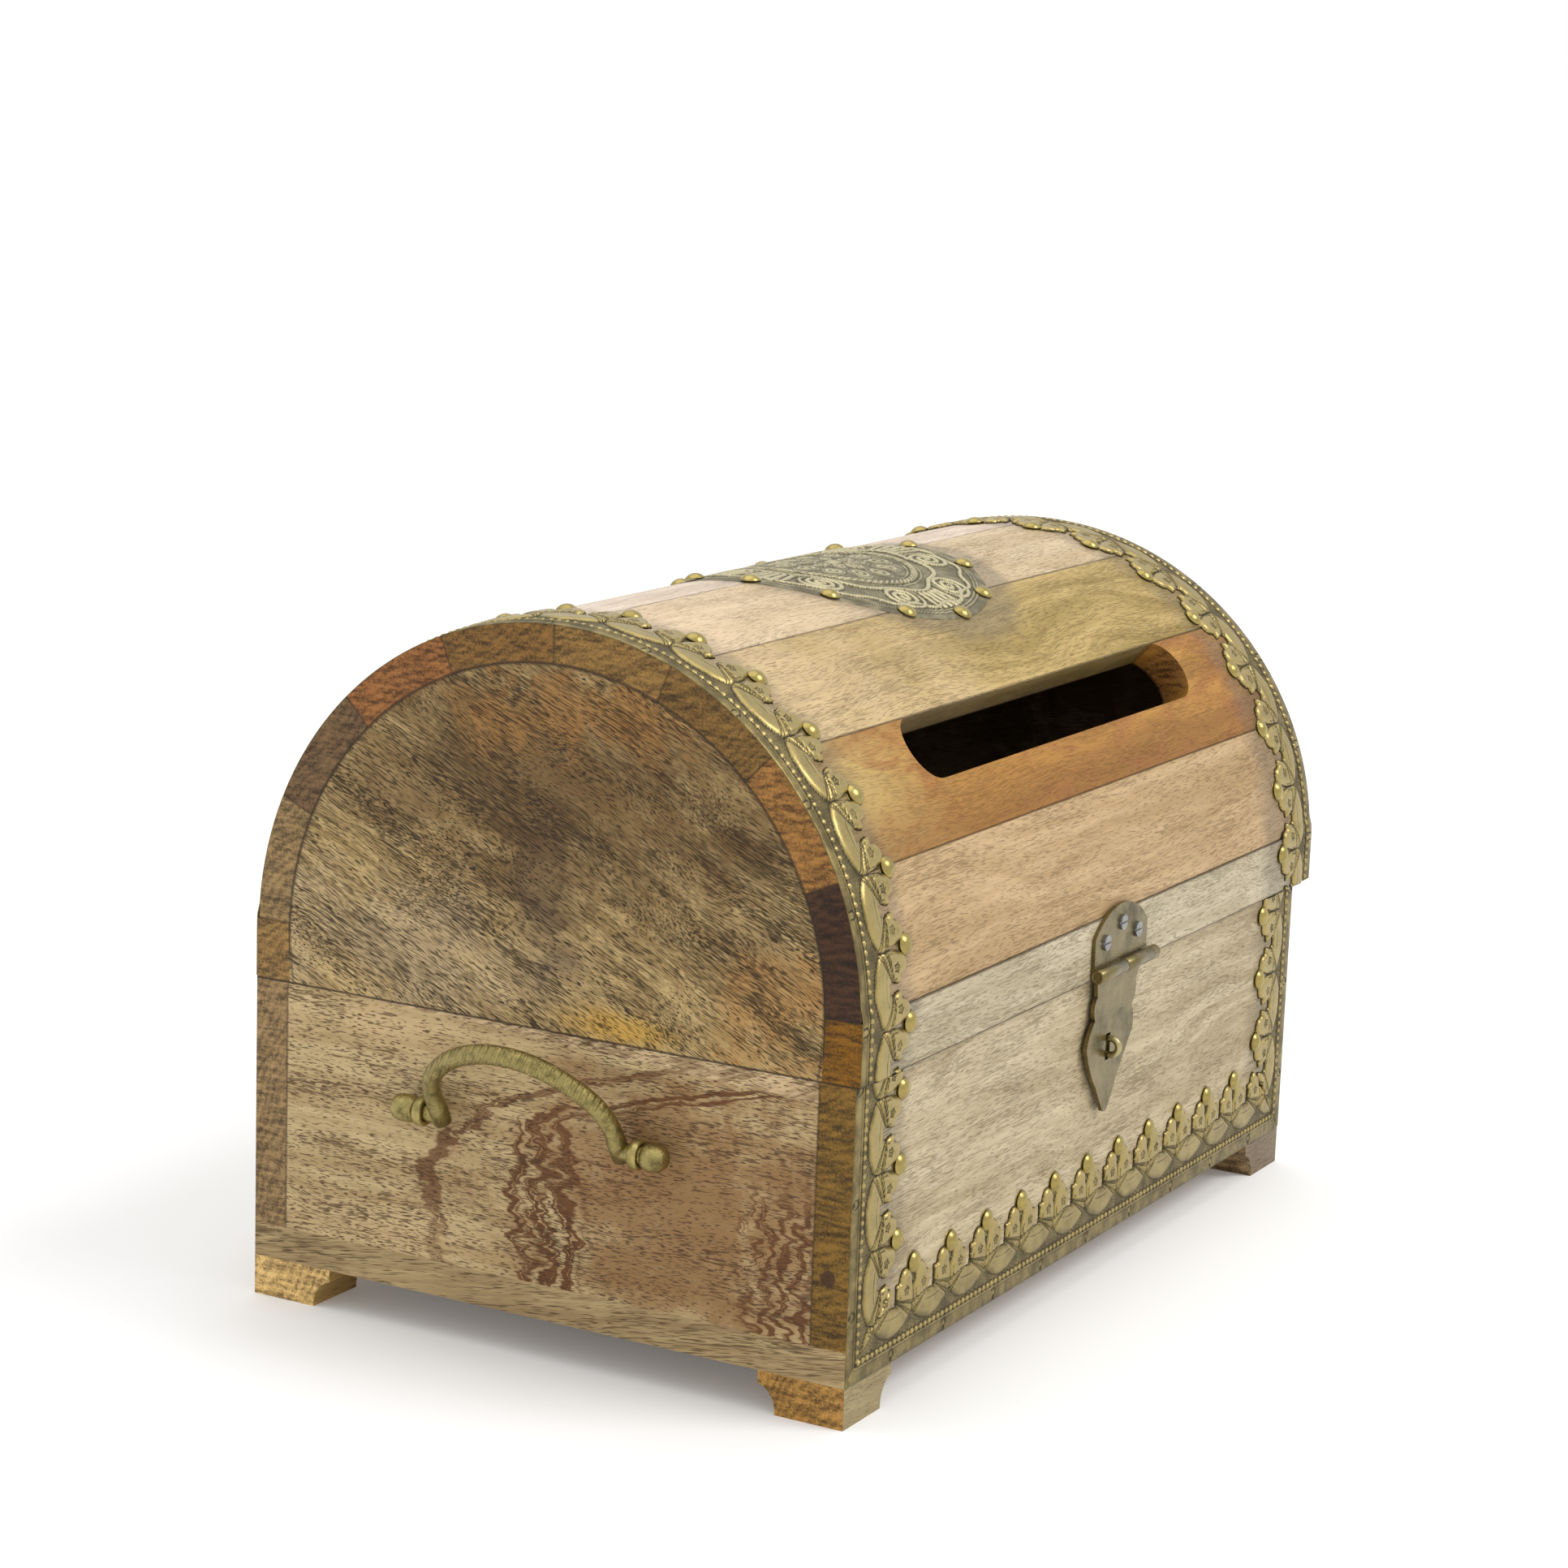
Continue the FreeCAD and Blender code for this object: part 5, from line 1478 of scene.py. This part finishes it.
class CHEST_OT_stage(bpy.types.Operator):
    """Sets the white floor, the soft studio light and the camera"""

    bl_idname = "chest.stage"
    bl_label = "Set the stage"

    def execute(self, context):
        scene = context.scene
        scene.view_settings.view_transform = "Standard"
        self.world(scene)
        self.floor()
        for name, lamp in LAMPS.items():
            self.lamp(name, **lamp)
        self.camera(scene, scene.chest_stage)
        return {"FINISHED"}

    def camera(self, scene, stage):
        """The camera that was fitted to the photograph."""
        camera = bpy.data.cameras.new("camera")
        camera.lens = stage.lens
        camera.sensor_width = 36.0
        camera.clip_start = 0.05
        camera.clip_end = 50.0
        holder = bpy.data.objects.new("camera", camera)
        scene.collection.objects.link(holder)
        forward = Vector((math.cos(stage.heading) * math.cos(stage.dip),
                          math.sin(stage.heading) * math.cos(stage.dip), -math.sin(stage.dip)))
        level = forward.cross(Vector((0, 0, 1))).normalized()
        upright = level.cross(forward)
        right = level * math.cos(stage.roll) + upright * math.sin(stage.roll)
        up = upright * math.cos(stage.roll) - level * math.sin(stage.roll)
        turn = Matrix((right, up, -forward)).transposed().to_4x4()
        holder.matrix_world = Matrix.Translation(stage.camera_place) @ turn
        scene.camera = holder

    def world(self, scene):
        """Even studio light, and pure white where the camera sees past the floor."""
        world = bpy.data.worlds.new("studio")
        scene.world = world
        world.use_nodes = True
        nodes, links = world.node_tree.nodes, world.node_tree.links
        nodes.clear()
        seen = seen_ray(nodes, links)
        glow = nodes.new("ShaderNodeBackground")
        glow.inputs["Color"].default_value = (1.0, 1.0, 1.0, 1.0)
        glow.inputs["Strength"].default_value = WORLD_GLOW
        white = nodes.new("ShaderNodeBackground")
        white.inputs["Color"].default_value = (1.0, 1.0, 1.0, 1.0)
        mixer = nodes.new("ShaderNodeMixShader")
        out = nodes.new("ShaderNodeOutputWorld")
        links.new(seen, mixer.inputs["Fac"])
        links.new(glow.outputs[0], mixer.inputs[1])
        links.new(white.outputs[0], mixer.inputs[2])
        links.new(mixer.outputs[0], out.inputs["Surface"])

    def floor(self):
        """A white sheet that glows a little for the camera."""
        bm = bmesh.new()
        bmesh.ops.create_grid(bm, x_segments=1, y_segments=1, size=FLOOR_HALF)
        mesh = stored("floor", bm)
        floor = bpy.data.objects.new("floor", mesh)
        bpy.context.scene.collection.objects.link(floor)
        finish = Finish("white_paper")
        finish.set(Base_Color=(0.99, 0.99, 0.99), Roughness=0.9)
        glow = finish.node("ShaderNodeEmission", None, {"Color": (1.0, 1.0, 1.0), "Strength": 1.0})
        share = Field(finish, seen_ray(finish.tree.nodes, finish.tree.links)) * FLOOR_GLOW
        mixer = finish.node("ShaderNodeMixShader")
        finish.feed(mixer.inputs[0], share)
        finish.feed(mixer.inputs[1], finish.shader.outputs[0])
        finish.feed(mixer.inputs[2], glow.outputs[0])
        out = finish.tree.nodes["Material Output"]
        finish.feed(out.inputs["Surface"], mixer.outputs[0])
        mesh.materials.append(finish.material)

    def lamp(self, name, place, strength, spread):
        """A soft sun that shines from a place towards the chest."""
        light = bpy.data.lights.new(name, "SUN")
        light.energy = strength
        light.angle = math.radians(spread)
        holder = bpy.data.objects.new(name, light)
        bpy.context.scene.collection.objects.link(holder)
        aim = Vector((0, 0, AIM_HEIGHT)) - Vector(place)
        turn = aim.to_track_quat("-Z", "Y").to_matrix().to_4x4()
        holder.matrix_world = Matrix.Translation(place) @ turn


class CHEST_PT_sidebar(bpy.types.Panel):
    """Lists the steps that dress the chest"""

    bl_label = "Chest"
    bl_idname = "CHEST_PT_sidebar"
    bl_space_type = "VIEW_3D"
    bl_region_type = "UI"
    bl_category = "Chest"

    def draw(self, context):
        layout = self.layout
        for step in STEPS:
            layout.operator(step.bl_idname)
        for group in GROUPS:
            settings = getattr(context.scene, group)
            for name in settings.__annotations__:
                layout.prop(settings, name)


STEPS = (CHEST_OT_wood, CHEST_OT_borders, CHEST_OT_medallion, CHEST_OT_nails, CHEST_OT_handles,
         CHEST_OT_fittings, CHEST_OT_stage)
GROUPS = {"chest_wood": ChestWood, "chest_brass": ChestBrass, "chest_handle": ChestHandle,
          "chest_stage": ChestStage}


def register():
    for group in GROUPS.values():
        bpy.utils.register_class(group)
    for name, group in GROUPS.items():
        setattr(bpy.types.Scene, name, PointerProperty(type=group))
    for step in STEPS:
        bpy.utils.register_class(step)
    bpy.utils.register_class(CHEST_PT_sidebar)


def unregister():
    bpy.utils.unregister_class(CHEST_PT_sidebar)
    for step in reversed(STEPS):
        bpy.utils.unregister_class(step)
    for name in GROUPS:
        delattr(bpy.types.Scene, name)
    for group in GROUPS.values():
        bpy.utils.unregister_class(group)


def main():
    register()
    bpy.ops.chest.wood()
    bpy.ops.chest.borders()
    bpy.ops.chest.medallion()
    bpy.ops.chest.nails()
    bpy.ops.chest.handles()
    bpy.ops.chest.fittings()
    bpy.ops.chest.stage()


if __name__ == "__main__":
    main()
